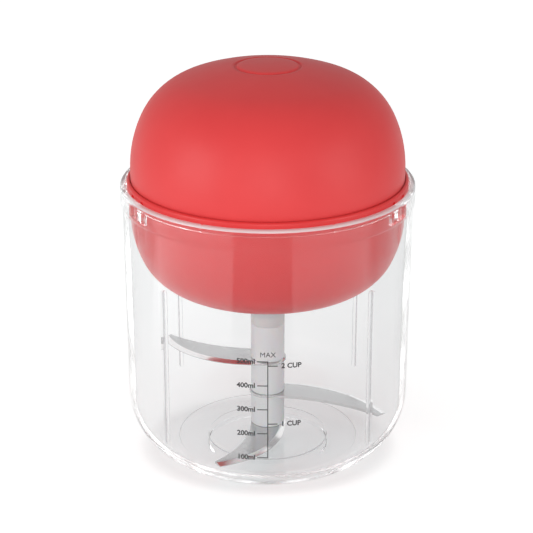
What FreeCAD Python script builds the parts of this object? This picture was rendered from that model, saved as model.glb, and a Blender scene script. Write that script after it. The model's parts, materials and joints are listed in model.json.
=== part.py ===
"""Cordless food chopper: a clear bowl, a three-blade rotor on a pin, and a
motor head whose whole upper shell is the press button.

Units are millimetres.  The table is z = 0, the blade axis is the Z axis and
the front of the bowl faces -Y.  Each piece is one shape in its own STEP file.
"""
import FreeCAD, Part
import math
import os

# Bowl
bowl_height = 118.7
bowl_outer_r = 58.4
bowl_wall = 2.6
rim_wall = 2.3
rim_band = 8.5
rim_edge_r = 0.9
rim_step = 0.8
wall_draft = 0.35
bowl_corner_r = 29.0
inner_corner_r = 20.5
floor_height = 6.0
mouth_depth = 3.5
floor_ring_r = 37.4
floor_ring_step = 0.5
floor_pad_r = 24.9
floor_pad_height = 0.6
base_recess_r = 24.9
base_recess_depth = 2.4

# Ribs, keys and drain notches inside the bowl
rib_edge_r = 0.4
rib_width = 2.4
rib_depth = 1.9
rib_bottom = 15.0
rib_length = 70.8
rib_places = (-47.5, 47.5, 135.0, -135.0)
key_depth = 1.8
key_height = 5.2
key_block_place = 69.0
key_block_span = 8.0
key_hook_place = 59.5
key_hook_span = 2.2
key_foot_span = 5.0
key_foot_height = 1.6
drain_notch_place = 25.5
drain_notch_width = 1.2
drain_notch_depth = 0.9

# Pivot pin in the bowl's floor
pin_r = 2.5
pin_seat_depth = 2.2
pin_length = 21.0
pin_tip_chamfer = 0.6
pin_tip_gap = 0.4
pin_boss_r = 4.6
pin_boss_height = 2.0

# Blade rotor
rotor_gap = 0.4
hub_r = 7.0
hub_flange_height = 1.9
spindle_r = 5.4
spindle_flat = 4.2
spindle_top = 3.2
pivot_bush_wall = 1.1
pivot_bush_length = 15.0
spacer_length = 13.9
blade_thickness = 1.0
blade_root_r = 7.7
lower_blade_reach = 45.0
middle_blade_reach = 52.6
upper_blade_reach = 48.8
blade_tip_sweep = 3.4
blade_heel_sweep = 7.6
blade_tip_cut = 2.7
blade_tip_slant = 40.0
blade_belly = 7.5
upper_blade_belly = 8.5
blade_back_hollow = 4.5
bevel_width = 2.4
bevel_edge = 0.3
lower_blade_turn = -111.8
middle_blade_turn = -21.4
upper_blade_turn = 159.6

# Drive cap of the rotor and the dog that turns it
cap_length = 12.5
cap_gap = 1.9
cap_flare_r = 9.2
cap_flare_start = 3.8
cap_flare_height = 5.4
dog_r = 4.6
dog_lobes = 6
dog_lobe_r = 1.1
dog_length = 7.4
dog_socket_clearance = 0.3
dog_top_gap = 1.0
cap_web = 1.0

# Lower housing of the motor head
mouth_clearance = 0.4
seat_gap = 0.1
collar_height = 5.5
collar_edge_r = 1.0
collar_wall = 1.2
housing_clearance = 1.0
housing_wall = 2.4
belly_depth = 44.1
belly_side_drop = 8.9
belly_flank_r = 44.7
belly_corner_r = 21.8
belly_floor_r = 145.0
key_clearance = 0.4
key_notch_depth = 0.7
key_notch_rise = 0.5

# Press dome
press_travel = 2.0
press_clearance = 0.3
dome_edge_drop = 0.5
stop_gap = 0.4
dome_wall = 2.6
dome_rise = 46.0
dome_side_rise = 4.2
dome_flank_r = 47.7
dome_shoulder_r = 30.8
dome_crown_r = 99.5
dome_rim_height = 3.4
skirt_wall = 2.0
skirt_drop = 7.4
skirt_clearance = 0.3
catch_depth = 0.9
catch_height = 1.2
catch_gap = 0.1
catch_span = 22.0
catch_places = (-32.0, 32.0, -108.0, 108.0, -150.0, 150.0)
crown_ring_r = 12.0
crown_ring_width = 1.5
crown_ring_depth = 0.6

# Gearbox: a planetary stage between motor and blades
gear_module = 0.7
sun_teeth = 12
planet_teeth = 18
planet_count = 3
pressure_angle = 20.0
tooth_addendum = 0.8
tooth_dedendum = 1.1
gear_backlash = 0.12
gear_length = 6.0
gear_end_gap = 0.3
ring_gear_r = 20.3
planet_pin_r = 1.5
running_gap = 0.05
carrier_r = 14.4
carrier_thickness = 2.4
carrier_gap = 0.4
boss_rise = 8.8
output_shaft_r = 3.0
output_flat = 2.4
shaft_boss_wall = 1.8
seal_r = 7.0
seal_height = 3.0
seal_depth = 0.8
seal_lip = 1.0
seal_lip_rise = 0.5
seal_web = 1.2
bush_wall = 2.0
bush_length = 4.4
motor_plate_thickness = 2.0
gearbox_ear_place = 23.2
gearbox_ear_r = 3.0
gearbox_wall = 2.5

# Motor
motor_r = 13.9
motor_length = 38.0
motor_can_wall = 1.2
motor_boss_r = 5.0
motor_boss_height = 1.6
motor_shaft_r = 1.15
motor_screw_place = 8.0
motor_screw_r = 1.25
end_cap_height = 2.4
end_cap_boss_r = 4.0
end_cap_boss_height = 2.0
motor_bush_wall = 1.6
magnet_wall = 2.2
magnet_length = 26.0
magnet_span = 120.0
air_gap = 0.5
armature_poles = 5
armature_length = 24.0
armature_slot = 2.4
armature_core_r = 4.6
commutator_r = 3.4
commutator_length = 4.0
commutator_gap = 1.0
commutator_slit = 0.4
commutator_slit_depth = 0.8
brush_width = 2.6
brush_length = 3.6
brush_arm = 0.6
lead_r = 0.8
lead_inset = 3.0
shaft_end_gap = 0.2

# Cells, circuit boards and switch
cell_r = 9.2
cell_length = 65.0
cell_inset = 20.8
cell_nub_r = 2.8
cell_nub_height = 0.8
cell_edge = 0.6
cell_base_gap = 10.2
cell_cup_wall = 1.2
cell_clearance = 0.2
cell_cup_height = 34.0
strap_width = 6.0
strap_thickness = 0.3
strap_tab_inset = 2.0
board_thickness = 1.6
board_r = 27.0
board_rise = 1.8
board_screw_length = 6.0
chip_length = 7.0
chip_height = 1.2
coil_length = 6.0
coil_height = 3.0
board_part_gap = 3.75
plug_length = 8.0
plug_width = 5.0
plug_height = 4.0
plug_place = 14.5
switch_size = 8.5
switch_height = 7.0
plunger_r = 2.0
plunger_height = 2.5
plunger_root = 2.6
plunger_root_gap = 0.2
switch_boss_r = 5.0
switch_gap = 0.05

# Inner frame
frame_plate_rise = 22.8
frame_plate_thickness = 2.4
frame_edge_gap = 1.4
motor_sleeve_height = 26.0
motor_sleeve_wall = 1.6
motor_sleeve_clearance = 0.15
board_post_r = 2.8
board_post_place = 21.5
frame_screw_inset = 19.4
frame_boss_r = 3.4
screw_r = 1.3
screw_head_r = 2.4
screw_head_height = 1.6
screw_slot_width = 0.7
screw_length = 8.0
gearbox_screw_length = 16.0

# Return springs of the dome
spring_count = 4
spring_inset = 10.4
spring_post_r = 4.6
spring_post_height = 15.6
spring_guide_r = 2.0
spring_guide_height = 16.0
spring_wire_r = 0.45
spring_mean_r = 3.0
spring_turns = 5
spring_length = 13.0
sleeve_r = 4.6
sleeve_bore_r = 2.4
sleeve_web = 1.6

# Charging port at the back
tongue_width = 22.0
tongue_height = 16.5
tongue_corner_r = 4.0
tongue_gap = 0.4
tongue_root_bite = 0.2
port_rise = 7.4
socket_width = 9.0
socket_height = 3.2
socket_depth = 7.3
socket_wall = 0.35
socket_setback = 1.9
socket_blade = 0.7
cover_width = 12.6
cover_height = 7.0
cover_gap = 0.2
cover_face_gap = 0.1
cover_recess = 1.8
cover_plug_depth = 0.9
hinge_pin_r = 0.45
hinge_pin_reach = 1.0
hinge_barrel_r = 0.7
hinge_rise = 1.4
lip_r = 0.5
lip_length = 5.0
light_pipe_r = 1.2
light_rise = 13.4
charge_board_width = 16.0
charge_board_height = 24.0
bracket_width = 19.0
bracket_depth = 4.4
bracket_rise = 4.0
board_slot_rise = 5.0
charge_board_gap = 0.1
socket_back = 1.0
socket_blade_gap = 0.5
socket_blade_setback = 1.0
light_setback = 0.3

# Levels and radii that follow from the sizes above
ledge_z = bowl_height - mouth_depth
rim_outer_r = bowl_outer_r + rim_step
mouth_r = rim_outer_r - rim_wall
band_z = bowl_height - rim_band
collar_r = mouth_r - mouth_clearance
collar_bore_r = collar_r - collar_wall
dome_r = collar_bore_r - press_clearance
flange_z = ledge_z + seat_gap
seam_z = flange_z + collar_height
housing_r = bowl_outer_r - bowl_wall - housing_clearance
belly_z = flange_z - belly_depth
belly_side_z = flange_z - belly_side_drop
housing_inner_r = housing_r - housing_wall
cell_place = housing_inner_r - cell_inset
frame_screw_place = housing_inner_r - frame_screw_inset
spring_place = housing_inner_r - spring_inset
dome_top_z = seam_z + dome_rise
dome_side_z = seam_z + dome_side_rise
dome_edge_z = seam_z - dome_edge_drop
bore_floor_z = dome_edge_z - press_travel - stop_gap
skirt_r = housing_inner_r - skirt_clearance
skirt_z = dome_edge_z - skirt_drop
catch_z = skirt_z + catch_height + catch_gap
groove_r = skirt_r + catch_depth + skirt_clearance
groove_z = skirt_z - press_travel - stop_gap
pin_boss_z = floor_height - floor_ring_step + floor_pad_height + pin_boss_height
hub_z = pin_boss_z + rotor_gap
lower_blade_z = hub_z + hub_flange_height
lower_spacer_z = lower_blade_z + blade_thickness
middle_blade_z = lower_spacer_z + spacer_length
middle_spacer_z = middle_blade_z + blade_thickness
upper_blade_z = middle_spacer_z + spacer_length
upper_spacer_z = upper_blade_z + blade_thickness
cap_top_z = belly_z - cap_gap
cap_z = cap_top_z - cap_length
boss_z = belly_z + boss_rise
ring_gear_z = boss_z + running_gap
carrier_z = boss_z + carrier_gap
planet_z = carrier_z + carrier_thickness + gear_end_gap
plate_z = planet_z + gear_length + 2 * gear_end_gap
motor_z = plate_z + motor_plate_thickness
end_cap_z = motor_z + motor_length
frame_z = belly_z + frame_plate_rise
frame_top_z = frame_z + frame_plate_thickness
cell_z = belly_z + cell_base_gap + cell_cup_wall + cell_clearance
cell_top_z = cell_z + cell_length
board_z = cell_top_z + board_rise
switch_z = board_z + board_thickness
plunger_z = switch_z + switch_height
plunger_top_z = plunger_z + plunger_height
orbit_r = gear_module * (sun_teeth + planet_teeth) / 2
ring_teeth = sun_teeth + 2 * planet_teeth
spring_z = frame_top_z + spring_post_height
sleeve_z = spring_z + spring_length
tongue_top_z = seam_z + tongue_height
port_z = seam_z + port_rise
light_z = seam_z + light_rise

UP = FreeCAD.Vector(0, 0, 1)
RIGHT = FreeCAD.Vector(1, 0, 0)
BACK = FreeCAD.Vector(0, 1, 0)
ORIGIN = FreeCAD.Vector(0, 0, 0)


# Small tools for building shapes
def vec(x, y, z):
    return FreeCAD.Vector(x, y, z)


def polar(radius, degrees, z=0.0):
    angle = math.radians(degrees)
    return vec(radius * math.cos(angle), radius * math.sin(angle), z)


def from_front(degrees):
    """Angle about Z of a place given in degrees round from the front (-Y)."""
    return degrees - 90.0


def rod(radius, z_low, z_high, x=0.0, y=0.0):
    return Part.makeCylinder(radius, z_high - z_low, vec(x, y, z_low), UP)


def tube(outer_r, inner_r, z_low, z_high, x=0.0, y=0.0):
    outside = rod(outer_r, z_low, z_high, x, y)
    return outside.cut(rod(inner_r, z_low - 1, z_high + 1, x, y))


def block(x_low, x_high, y_low, y_high, z_low, z_high):
    return Part.makeBox(x_high - x_low, y_high - y_low, z_high - z_low,
                        vec(x_low, y_low, z_low))


def turned(shape, degrees):
    copy = shape.copy()
    copy.rotate(ORIGIN, UP, degrees)
    return copy


def join(first, *others):
    return first.multiFuse(list(others)).removeSplitter()


def group(shapes):
    return Part.makeCompound(list(shapes))


def spread(count, start=0.0):
    return [start + 360.0 * i / count for i in range(count)]


def face_of(start, steps):
    """A face in the XZ plane.  A step is an end point, or (middle, end) of an arc."""
    edges = []
    here = start
    for step in list(steps) + [start]:
        is_arc = isinstance(step[0], tuple)
        end = step[1] if is_arc else step
        first = vec(here[0], 0, here[1])
        last = vec(end[0], 0, end[1])
        if is_arc:
            middle = vec(step[0][0], 0, step[0][1])
            edges.append(Part.Arc(first, middle, last).toShape())
        elif (last - first).Length > 1e-7:
            edges.append(Part.makeLine(first, last))
        here = end
    return Part.Face(Part.Wire(edges))


def revolved(start, steps, degrees=360.0):
    return face_of(start, steps).revolve(ORIGIN, UP, degrees)


def ring_sector(inner_r, outer_r, z_low, z_high, middle, span):
    """A piece of a ring, centred on an angle about Z."""
    corners = [(outer_r, z_low), (outer_r, z_high), (inner_r, z_high)]
    piece = revolved((inner_r, z_low), corners, span)
    return turned(piece, middle - span / 2)


def arc_step(centre, start, end):
    """The arc round a centre from start to end, as a step for face_of."""
    radius = math.hypot(start[0] - centre[0], start[1] - centre[1])
    away_r = start[0] + end[0] - 2 * centre[0]
    away_z = start[1] + end[1] - 2 * centre[1]
    scale = radius / math.hypot(away_r, away_z)
    return ((centre[0] + away_r * scale, centre[1] + away_z * scale), end)


def towards(centre, target, distance):
    gap = math.hypot(target[0] - centre[0], target[1] - centre[1])
    share = distance / gap
    return (centre[0] + (target[0] - centre[0]) * share,
            centre[1] + (target[1] - centre[1]) * share)


def shell_steps(side_r, side_z, pole_z, flank_r, corner_r, crown_r, inset=0.0):
    """Three tangent arcs from the side of a round shell to its pole.

    The crown arc is centred on the axis, the flank arc stands upright at the
    side, and the corner arc touches both from inside.
    """
    sign = 1 if pole_z > side_z else -1
    crown = (0.0, pole_z - sign * crown_r)
    flank = (side_r - flank_r, side_z)
    to_crown = crown_r - corner_r
    to_flank = flank_r - corner_r
    gap_r = flank[0] - crown[0]
    gap_z = flank[1] - crown[1]
    gap = math.hypot(gap_r, gap_z)
    along = (gap * gap + to_crown ** 2 - to_flank ** 2) / (2 * gap)
    aside = math.sqrt(to_crown ** 2 - along ** 2)
    corner = (crown[0] + (gap_r * along + sign * gap_z * aside) / gap,
              crown[1] + (gap_z * along - sign * gap_r * aside) / gap)
    start = (side_r - inset, side_z)
    first = towards(flank, corner, flank_r - inset)
    second = towards(crown, corner, crown_r - inset)
    pole = (0.0, pole_z - sign * inset)
    steps = [arc_step(flank, start, first),
             arc_step(corner, first, second),
             arc_step(crown, second, pole)]
    return start, steps


def reversed_steps(start, steps):
    """The same run of arcs walked from its other end."""
    points = [start] + [step[1] for step in steps]
    back = [(steps[i][0], points[i]) for i in reversed(range(len(steps)))]
    return points[-1], back


# The bowl
def outer_wall_r(z):
    return bowl_outer_r - math.tan(math.radians(wall_draft)) * (band_z - z)


def wall_corner(inset, corner_r, base_z):
    """Where a rounded corner leaves the floor and where it meets the wall."""
    lean = math.radians(wall_draft)
    centre_z = base_z + corner_r
    centre_r = outer_wall_r(centre_z) - inset - corner_r / math.cos(lean)
    centre = (centre_r, centre_z)
    floor_end = (centre_r, base_z)
    wall_end = (centre_r + corner_r * math.cos(lean), centre_z - corner_r * math.sin(lean))
    return floor_end, arc_step(centre, floor_end, wall_end)


def bowl_envelope(inset):
    """The bowl's outside as a full solid, drawn in by an inset."""
    floor_end, corner = wall_corner(inset, bowl_corner_r - inset, inset)
    top_r = outer_wall_r(band_z) - inset
    return revolved((0.0, inset), [floor_end, corner, (top_r, band_z), (top_r, ledge_z),
                                   (0.0, ledge_z)])


def bowl_rib(place):
    rib_top = rib_bottom + rib_length
    nose = outer_wall_r(rib_top) - bowl_wall - rib_depth
    middle_z = rib_top - rib_width / 2
    plate = block(nose, rim_outer_r, -rib_width / 2, rib_width / 2, rib_bottom, middle_z)
    crest = Part.makeCylinder(rib_width / 2, rim_outer_r - nose, vec(nose, 0, middle_z), vec(1, 0, 0))
    rib = join(plate, crest)
    edges = [edge for edge in rib.Edges
             if edge.BoundBox.XMax < nose + 0.01 and edge.BoundBox.ZMax > rib_bottom + 0.01]
    rib = rib.makeFillet(rib_edge_r, edges)
    return turned(rib, from_front(place)).common(bowl_envelope(bowl_wall / 2))


def bowl_key(place, mirror):
    """One key set: a block, and beside it a hook with a foot towards the block."""
    inner_r = outer_wall_r(ledge_z) - bowl_wall - key_depth
    outer_r = outer_wall_r(ledge_z) - bowl_wall / 2
    low = ledge_z - key_height
    middle = from_front(place)
    shift = mirror * (key_block_place - key_hook_place)
    foot = mirror * (key_foot_span - key_hook_span) / 2
    big = ring_sector(inner_r, outer_r, low, ledge_z, middle + shift, key_block_span)
    leg = ring_sector(inner_r, outer_r, low, ledge_z, middle, key_hook_span)
    toe = ring_sector(inner_r, outer_r, low, low + key_foot_height, middle + foot, key_foot_span)
    return [big, join(leg, toe)]


def key_sets():
    """Place of each hook, and to which side its block lies."""
    return ((key_hook_place, 1), (-key_hook_place, -1), (180.0, 1))


def make_bowl():
    floor_end, outer_corner = wall_corner(0.0, bowl_corner_r, 0.0)
    inner_end, inner_corner = wall_corner(bowl_wall, inner_corner_r, floor_height)
    start, inner_steps = reversed_steps(inner_end, [inner_corner])
    rim_edge = (rim_outer_r - rim_edge_r, bowl_height - rim_edge_r)
    recess_floor = floor_height - floor_ring_step
    pad_z = recess_floor + floor_pad_height
    body = revolved(
        (base_recess_r, 0.0),
        [floor_end, outer_corner, (outer_wall_r(band_z), band_z),
         (rim_outer_r, band_z + rim_step), (rim_outer_r, rim_edge[1]),
         arc_step(rim_edge, (rim_outer_r, rim_edge[1]), (rim_edge[0], bowl_height)),
         (mouth_r, bowl_height), (mouth_r, ledge_z),
         (outer_wall_r(ledge_z) - bowl_wall, ledge_z), start] + inner_steps +
        [(0.0, floor_height), (0.0, base_recess_depth), (base_recess_r, base_recess_depth)])
    body = body.cut(rod(floor_ring_r, recess_floor, inner_steps[-1][0][1]))
    pad = rod(floor_pad_r, recess_floor, pad_z)
    boss = rod(pin_boss_r, recess_floor, pin_boss_z)
    ribs = [bowl_rib(place) for place in rib_places]
    keys = [piece for place, side in key_sets() for piece in bowl_key(place, side)]
    body = join(body, pad, boss, *(ribs + keys))
    body = body.cut(rod(pin_r, pin_low_z(), pin_boss_z + 1))
    for side in (-1, 1):
        notch = ring_sector(mouth_r - 1, mouth_r + drain_notch_depth, ledge_z, bowl_height + 1,
                            from_front(side * drain_notch_place),
                            math.degrees(drain_notch_width / mouth_r))
        body = body.cut(notch)
    return body


def pin_low_z():
    return pin_boss_z - pin_boss_height - pin_seat_depth


def make_pivot_pin():
    low = pin_low_z()
    top = low + pin_length
    return revolved((0.0, low), [(pin_r, low), (pin_r, top - pin_tip_chamfer),
                                 (pin_r - pin_tip_chamfer, top), (0.0, top)])


# The blade rotor
def double_flat(radius, flat, z_low, z_high):
    """A round bar with two flats, as the spindle and the blades' holes have."""
    bar = rod(radius, z_low, z_high)
    return bar.common(block(-radius, radius, -flat, flat, z_low, z_high))


def make_spindle():
    top = cap_z + spindle_top
    flange = rod(hub_r, hub_z, lower_blade_z)
    bar = double_flat(spindle_r, spindle_flat, lower_blade_z, top)
    spindle = join(flange, bar)
    bore_top = hub_z + pivot_bush_length
    pin_top = pin_low_z() + pin_length
    spindle = spindle.cut(rod(pin_r + running_gap + pivot_bush_wall, hub_z - 1, bore_top))
    return spindle.cut(rod(pin_r + 2 * running_gap, hub_z, pin_top + pin_tip_gap))


def make_pivot_bush():
    inner = pin_r + running_gap
    return tube(inner + pivot_bush_wall, inner, hub_z, hub_z + pivot_bush_length)


def make_spacer(z_low, z_high):
    return tube(hub_r, spindle_r, z_low, z_high)


def bulged(first, last, bulge):
    """An arc between two points that stands out to their left by a bulge."""
    along = last - first
    aside = vec(-along.y, along.x, 0)
    aside.normalize()
    middle = (first + last) * 0.5 + aside * bulge
    return Part.Arc(first, middle, last), aside


def make_blade(reach, belly, turn, z_low):
    """One curved blade, swept back to its tip, with a bevel on its leading edge."""
    tip = polar(reach, -blade_tip_sweep)
    heel_r = reach - blade_tip_cut * math.sin(math.radians(blade_tip_slant))
    heel = polar(heel_r, -blade_heel_sweep)
    top = vec(0, blade_root_r, 0)
    bottom = vec(0, -blade_root_r, 0)
    edge, aside = bulged(top, tip, belly)
    back, _ = bulged(bottom, heel, blade_back_hollow)
    root = Part.Arc(bottom, vec(-blade_root_r, 0, 0), top)
    wire = Part.Wire([edge.toShape(), Part.makeLine(tip, heel), back.toShape(), root.toShape()])
    plate = Part.Face(wire).extrude(vec(0, 0, blade_thickness))
    chord = (tip - top).Length
    edge_r = chord ** 2 / (8 * belly) + belly / 2
    centre = (top + tip) * 0.5 - aside * (edge_r - belly)
    slope = (blade_thickness - bevel_edge) / bevel_width
    inner_r = edge_r - bevel_width
    outer_r = edge_r + bevel_width
    cutter = revolved((inner_r, blade_thickness),
                      [(outer_r, blade_thickness - 2 * bevel_width * slope),
                       (outer_r, 2 * blade_thickness), (inner_r, 2 * blade_thickness)])
    cutter.translate(centre)
    plate = plate.cut(cutter)
    plate = turned(plate, turn)
    plate.translate(vec(0, 0, z_low))
    return plate.cut(double_flat(spindle_r, spindle_flat, z_low - 1, z_low + blade_thickness + 1))


def lobed_rod(grow, z_low, z_high):
    """The drive dog's star section, grown all round by a clearance."""
    core = rod(dog_r + grow, z_low, z_high)
    lobes = [rod(dog_lobe_r + grow, z_low, z_high, polar(dog_r, a).x, polar(dog_r, a).y)
             for a in spread(dog_lobes)]
    return join(core, *lobes)


def dog_low_z():
    return belly_z - dog_top_gap - dog_length


def make_drive_cap():
    flare_z = cap_z + cap_flare_start
    rim_z = flare_z + cap_flare_height
    spindle_end = cap_z + spindle_top
    body = revolved((0.0, cap_z),
                    [(hub_r, cap_z), (hub_r, flare_z), (cap_flare_r, rim_z),
                     (cap_flare_r, cap_top_z), (0.0, cap_top_z)])
    body = body.cut(double_flat(spindle_r, spindle_flat, cap_z - 1, spindle_end))
    floor_z = dog_low_z() - cap_web
    return body.cut(lobed_rod(dog_socket_clearance, floor_z, cap_top_z + 1))


# Involute gears
def tooth_half_angle(teeth, radius, gap):
    """Half the angle of a tooth at a radius, in radians, less its share of backlash."""
    pressure = math.radians(pressure_angle)
    pitch_r = gear_module * teeth / 2
    base_r = pitch_r * math.cos(pressure)
    local = math.acos(min(1.0, base_r / max(radius, base_r)))
    half = math.pi / (2 * teeth) - gap / (2 * pitch_r)
    return half + (math.tan(pressure) - pressure) - (math.tan(local) - local)


def gear_face(teeth, root_r, tip_r, gap, flank_points=4):
    """The outline of a gear's teeth: involute flanks between root and tip."""
    radii = [root_r + (tip_r - root_r) * i / (flank_points - 1) for i in range(flank_points)]
    points = []
    for tooth in range(teeth):
        middle = 2 * math.pi * tooth / teeth
        for radius in radii:
            angle = middle - tooth_half_angle(teeth, radius, gap)
            points.append(vec(radius * math.cos(angle), radius * math.sin(angle), 0))
        for radius in reversed(radii):
            angle = middle + tooth_half_angle(teeth, radius, gap)
            points.append(vec(radius * math.cos(angle), radius * math.sin(angle), 0))
    points.append(points[0])
    return Part.Face(Part.makePolygon(points))


def gear(teeth, z_low, length):
    pitch_r = gear_module * teeth / 2
    face = gear_face(teeth, pitch_r - tooth_dedendum * gear_module,
                     pitch_r + tooth_addendum * gear_module, gear_backlash / 2)
    solid = face.extrude(vec(0, 0, length))
    solid.translate(vec(0, 0, z_low))
    return solid


def ear_places():
    return [polar(gearbox_ear_place, a) for a in spread(3, 90.0)]


def make_ring_gear():
    """The gearbox wall with inward teeth: the gap that a gear of as many teeth fills."""
    pitch_r = gear_module * ring_teeth / 2
    body = rod(ring_gear_r, ring_gear_z, plate_z)
    ears = [rod(gearbox_ear_r, ring_gear_z, plate_z, p.x, p.y) for p in ear_places()]
    body = join(body, *ears)
    face = gear_face(ring_teeth, pitch_r - tooth_addendum * gear_module,
                     pitch_r + tooth_dedendum * gear_module, -gear_backlash / 2)
    gap = face.extrude(vec(0, 0, plate_z - ring_gear_z + 2))
    gap.translate(vec(0, 0, ring_gear_z - 1))
    half_pitch = 180.0 / ring_teeth
    body = body.cut(turned(gap, half_pitch))
    for p in ear_places():
        body = body.cut(rod(screw_r, ring_gear_z - 1, plate_z + 1, p.x, p.y))
    return body


def make_sun_gear():
    return gear(sun_teeth, planet_z, gear_length).cut(
        rod(motor_shaft_r, planet_z - 1, planet_z + gear_length + 1))


def make_planet_gear(place):
    """One planet, turned so that a gap meets the sun's tooth."""
    half_tooth = 180.0 / planet_teeth
    planet = turned(gear(planet_teeth, planet_z, gear_length), half_tooth)
    planet = planet.cut(rod(planet_pin_r + running_gap, planet_z - 1,
                            planet_z + gear_length + 1))
    planet.translate(polar(orbit_r, place))
    return planet


def make_carrier():
    plate = rod(carrier_r, carrier_z, carrier_z + carrier_thickness)
    for place in spread(planet_count):
        p = polar(orbit_r, place)
        plate = plate.cut(rod(planet_pin_r, carrier_z - 1, planet_z, p.x, p.y))
    return plate.cut(shaft_bar(carrier_z - 1, planet_z))


def make_planet_pins():
    top = planet_z + gear_length + gear_end_gap / 2
    pins = []
    for place in spread(planet_count):
        p = polar(orbit_r, place)
        pins.append(rod(planet_pin_r, carrier_z, top, p.x, p.y))
    return group(pins)


def shaft_bar(z_low, z_high, grow=0.0):
    bar = rod(output_shaft_r + grow, z_low, z_high)
    keep = block(-output_shaft_r - 1, output_shaft_r + 1, -output_shaft_r - 1,
                 output_flat + grow, z_low, z_high)
    return bar.common(keep)


def make_output_shaft():
    """Round where it runs in the seal and bush, with a flat at both ends."""
    low = dog_low_z() + cap_web
    dog_end = belly_z - dog_top_gap
    lower = shaft_bar(low, dog_end)
    middle = rod(output_shaft_r, dog_end, carrier_z)
    upper = shaft_bar(carrier_z, carrier_z + carrier_thickness)
    return join(lower, middle, upper)


def make_drive_dog():
    low = dog_low_z()
    top = belly_z - dog_top_gap
    return lobed_rod(0.0, low, top).cut(shaft_bar(low + cap_web, top + 1))


def make_shaft_seal():
    """A lip seal: a rubber ring with a groove round its lip."""
    inner = output_shaft_r + running_gap
    low = belly_z + seal_depth
    top = low + seal_height
    groove_in = inner + seal_lip
    groove_out = seal_r - seal_lip
    return revolved((inner, low + seal_lip_rise),
                    [(groove_in, low), (groove_in, top - seal_web), (groove_out, top - seal_web),
                     (groove_out, low), (seal_r, low), (seal_r, top), (inner, top)])


def bush_outer_r():
    return output_shaft_r + running_gap + bush_wall


def make_output_bush():
    return tube(bush_outer_r(), output_shaft_r + running_gap, boss_z - bush_length, boss_z)


def screw(z_head, length, x, y, head_r=screw_head_r):
    """A pan-head screw, head up, whose head sits on z_head."""
    head = rod(head_r, z_head, z_head + screw_head_height, x, y)
    slot = block(x - head_r, x + head_r, y - screw_slot_width / 2, y + screw_slot_width / 2,
                 z_head + screw_head_height / 2, z_head + screw_head_height + 1)
    head = head.cut(slot)
    return join(head, rod(screw_r, z_head - length, z_head, x, y))


def make_motor_plate():
    plate = rod(ring_gear_r, plate_z, motor_z)
    ears = [rod(gearbox_ear_r, plate_z, motor_z, p.x, p.y) for p in ear_places()]
    plate = join(plate, *ears)
    plate = plate.cut(rod(motor_boss_r, plate_z - 1, motor_z + 1))
    for p in ear_places():
        plate = plate.cut(rod(screw_r, plate_z - 1, motor_z + 1, p.x, p.y))
    for side in (-1, 1):
        y = side * motor_screw_place
        plate = plate.cut(rod(motor_screw_r, plate_z - 1, motor_z + 1, 0, y))
        sink = Part.makeCone(2 * motor_screw_r, motor_screw_r, motor_screw_r,
                             vec(0, y, plate_z), UP)
        plate = plate.cut(sink)
    return plate


def make_motor_screws():
    """Two countersunk screws from the gear side into the motor's face."""
    screws = []
    for side in (-1, 1):
        y = side * motor_screw_place
        head = Part.makeCone(2 * motor_screw_r, motor_screw_r, motor_screw_r,
                             vec(0, y, plate_z), UP)
        screws.append(join(head, rod(motor_screw_r, plate_z, motor_z + motor_can_wall, 0, y)))
    return group(screws)


def make_gearbox_screws():
    return group(screw(motor_z, gearbox_screw_length, p.x, p.y) for p in ear_places())


# The motor
def make_motor_can():
    inner_r = motor_r - motor_can_wall
    bush_r = motor_shaft_r + running_gap + motor_bush_wall
    boss_low = motor_z - motor_boss_height
    body = revolved((bush_r, boss_low),
                    [(motor_boss_r, boss_low), (motor_boss_r, motor_z), (motor_r, motor_z),
                     (motor_r, end_cap_z), (inner_r, end_cap_z),
                     (inner_r, motor_z + motor_can_wall), (bush_r, motor_z + motor_can_wall)])
    for side in (-1, 1):
        body = body.cut(rod(motor_screw_r, motor_z - 1, motor_z + motor_can_wall + 1,
                            0, side * motor_screw_place))
    return body


def make_motor_bushes():
    inner = motor_shaft_r + running_gap
    outer = inner + motor_bush_wall
    front = tube(outer, inner, motor_z - motor_boss_height, motor_z + motor_can_wall)
    rear = tube(outer, inner, end_cap_z, end_cap_z + end_cap_height + end_cap_boss_height / 2)
    return group([front, rear])


def make_motor_end_cap():
    bush_r = motor_shaft_r + running_gap + motor_bush_wall
    bush_top = end_cap_z + end_cap_height + end_cap_boss_height / 2
    top = end_cap_z + end_cap_height + end_cap_boss_height
    body = revolved((bush_r, end_cap_z),
                    [(motor_r, end_cap_z), (motor_r, end_cap_z + end_cap_height),
                     (end_cap_boss_r, end_cap_z + end_cap_height), (end_cap_boss_r, top),
                     (0.0, top), (0.0, bush_top), (bush_r, bush_top)])
    return body


def magnet_low_z():
    return motor_z + (motor_length - magnet_length) / 2


def make_motor_magnets():
    outer = motor_r - motor_can_wall
    return group(ring_sector(outer - magnet_wall, outer, magnet_low_z(),
                             magnet_low_z() + magnet_length, middle, magnet_span)
                 for middle in (0.0, 180.0))


def armature_r():
    return motor_r - motor_can_wall - magnet_wall - air_gap


def make_armature():
    """The slotted iron core with its poles, on the motor shaft."""
    low = magnet_low_z() + (magnet_length - armature_length) / 2
    top = low + armature_length
    core = rod(armature_r(), low, top)
    slot_low = armature_core_r
    for place in spread(armature_poles, 18.0):
        slot = block(slot_low, armature_r() + 1, -armature_slot / 2, armature_slot / 2,
                     low - 1, top + 1)
        core = core.cut(turned(slot, place))
    return core.cut(rod(motor_shaft_r, low - 1, top + 1))


def commutator_low_z():
    low = magnet_low_z() + (magnet_length + armature_length) / 2
    return low + commutator_gap


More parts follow.
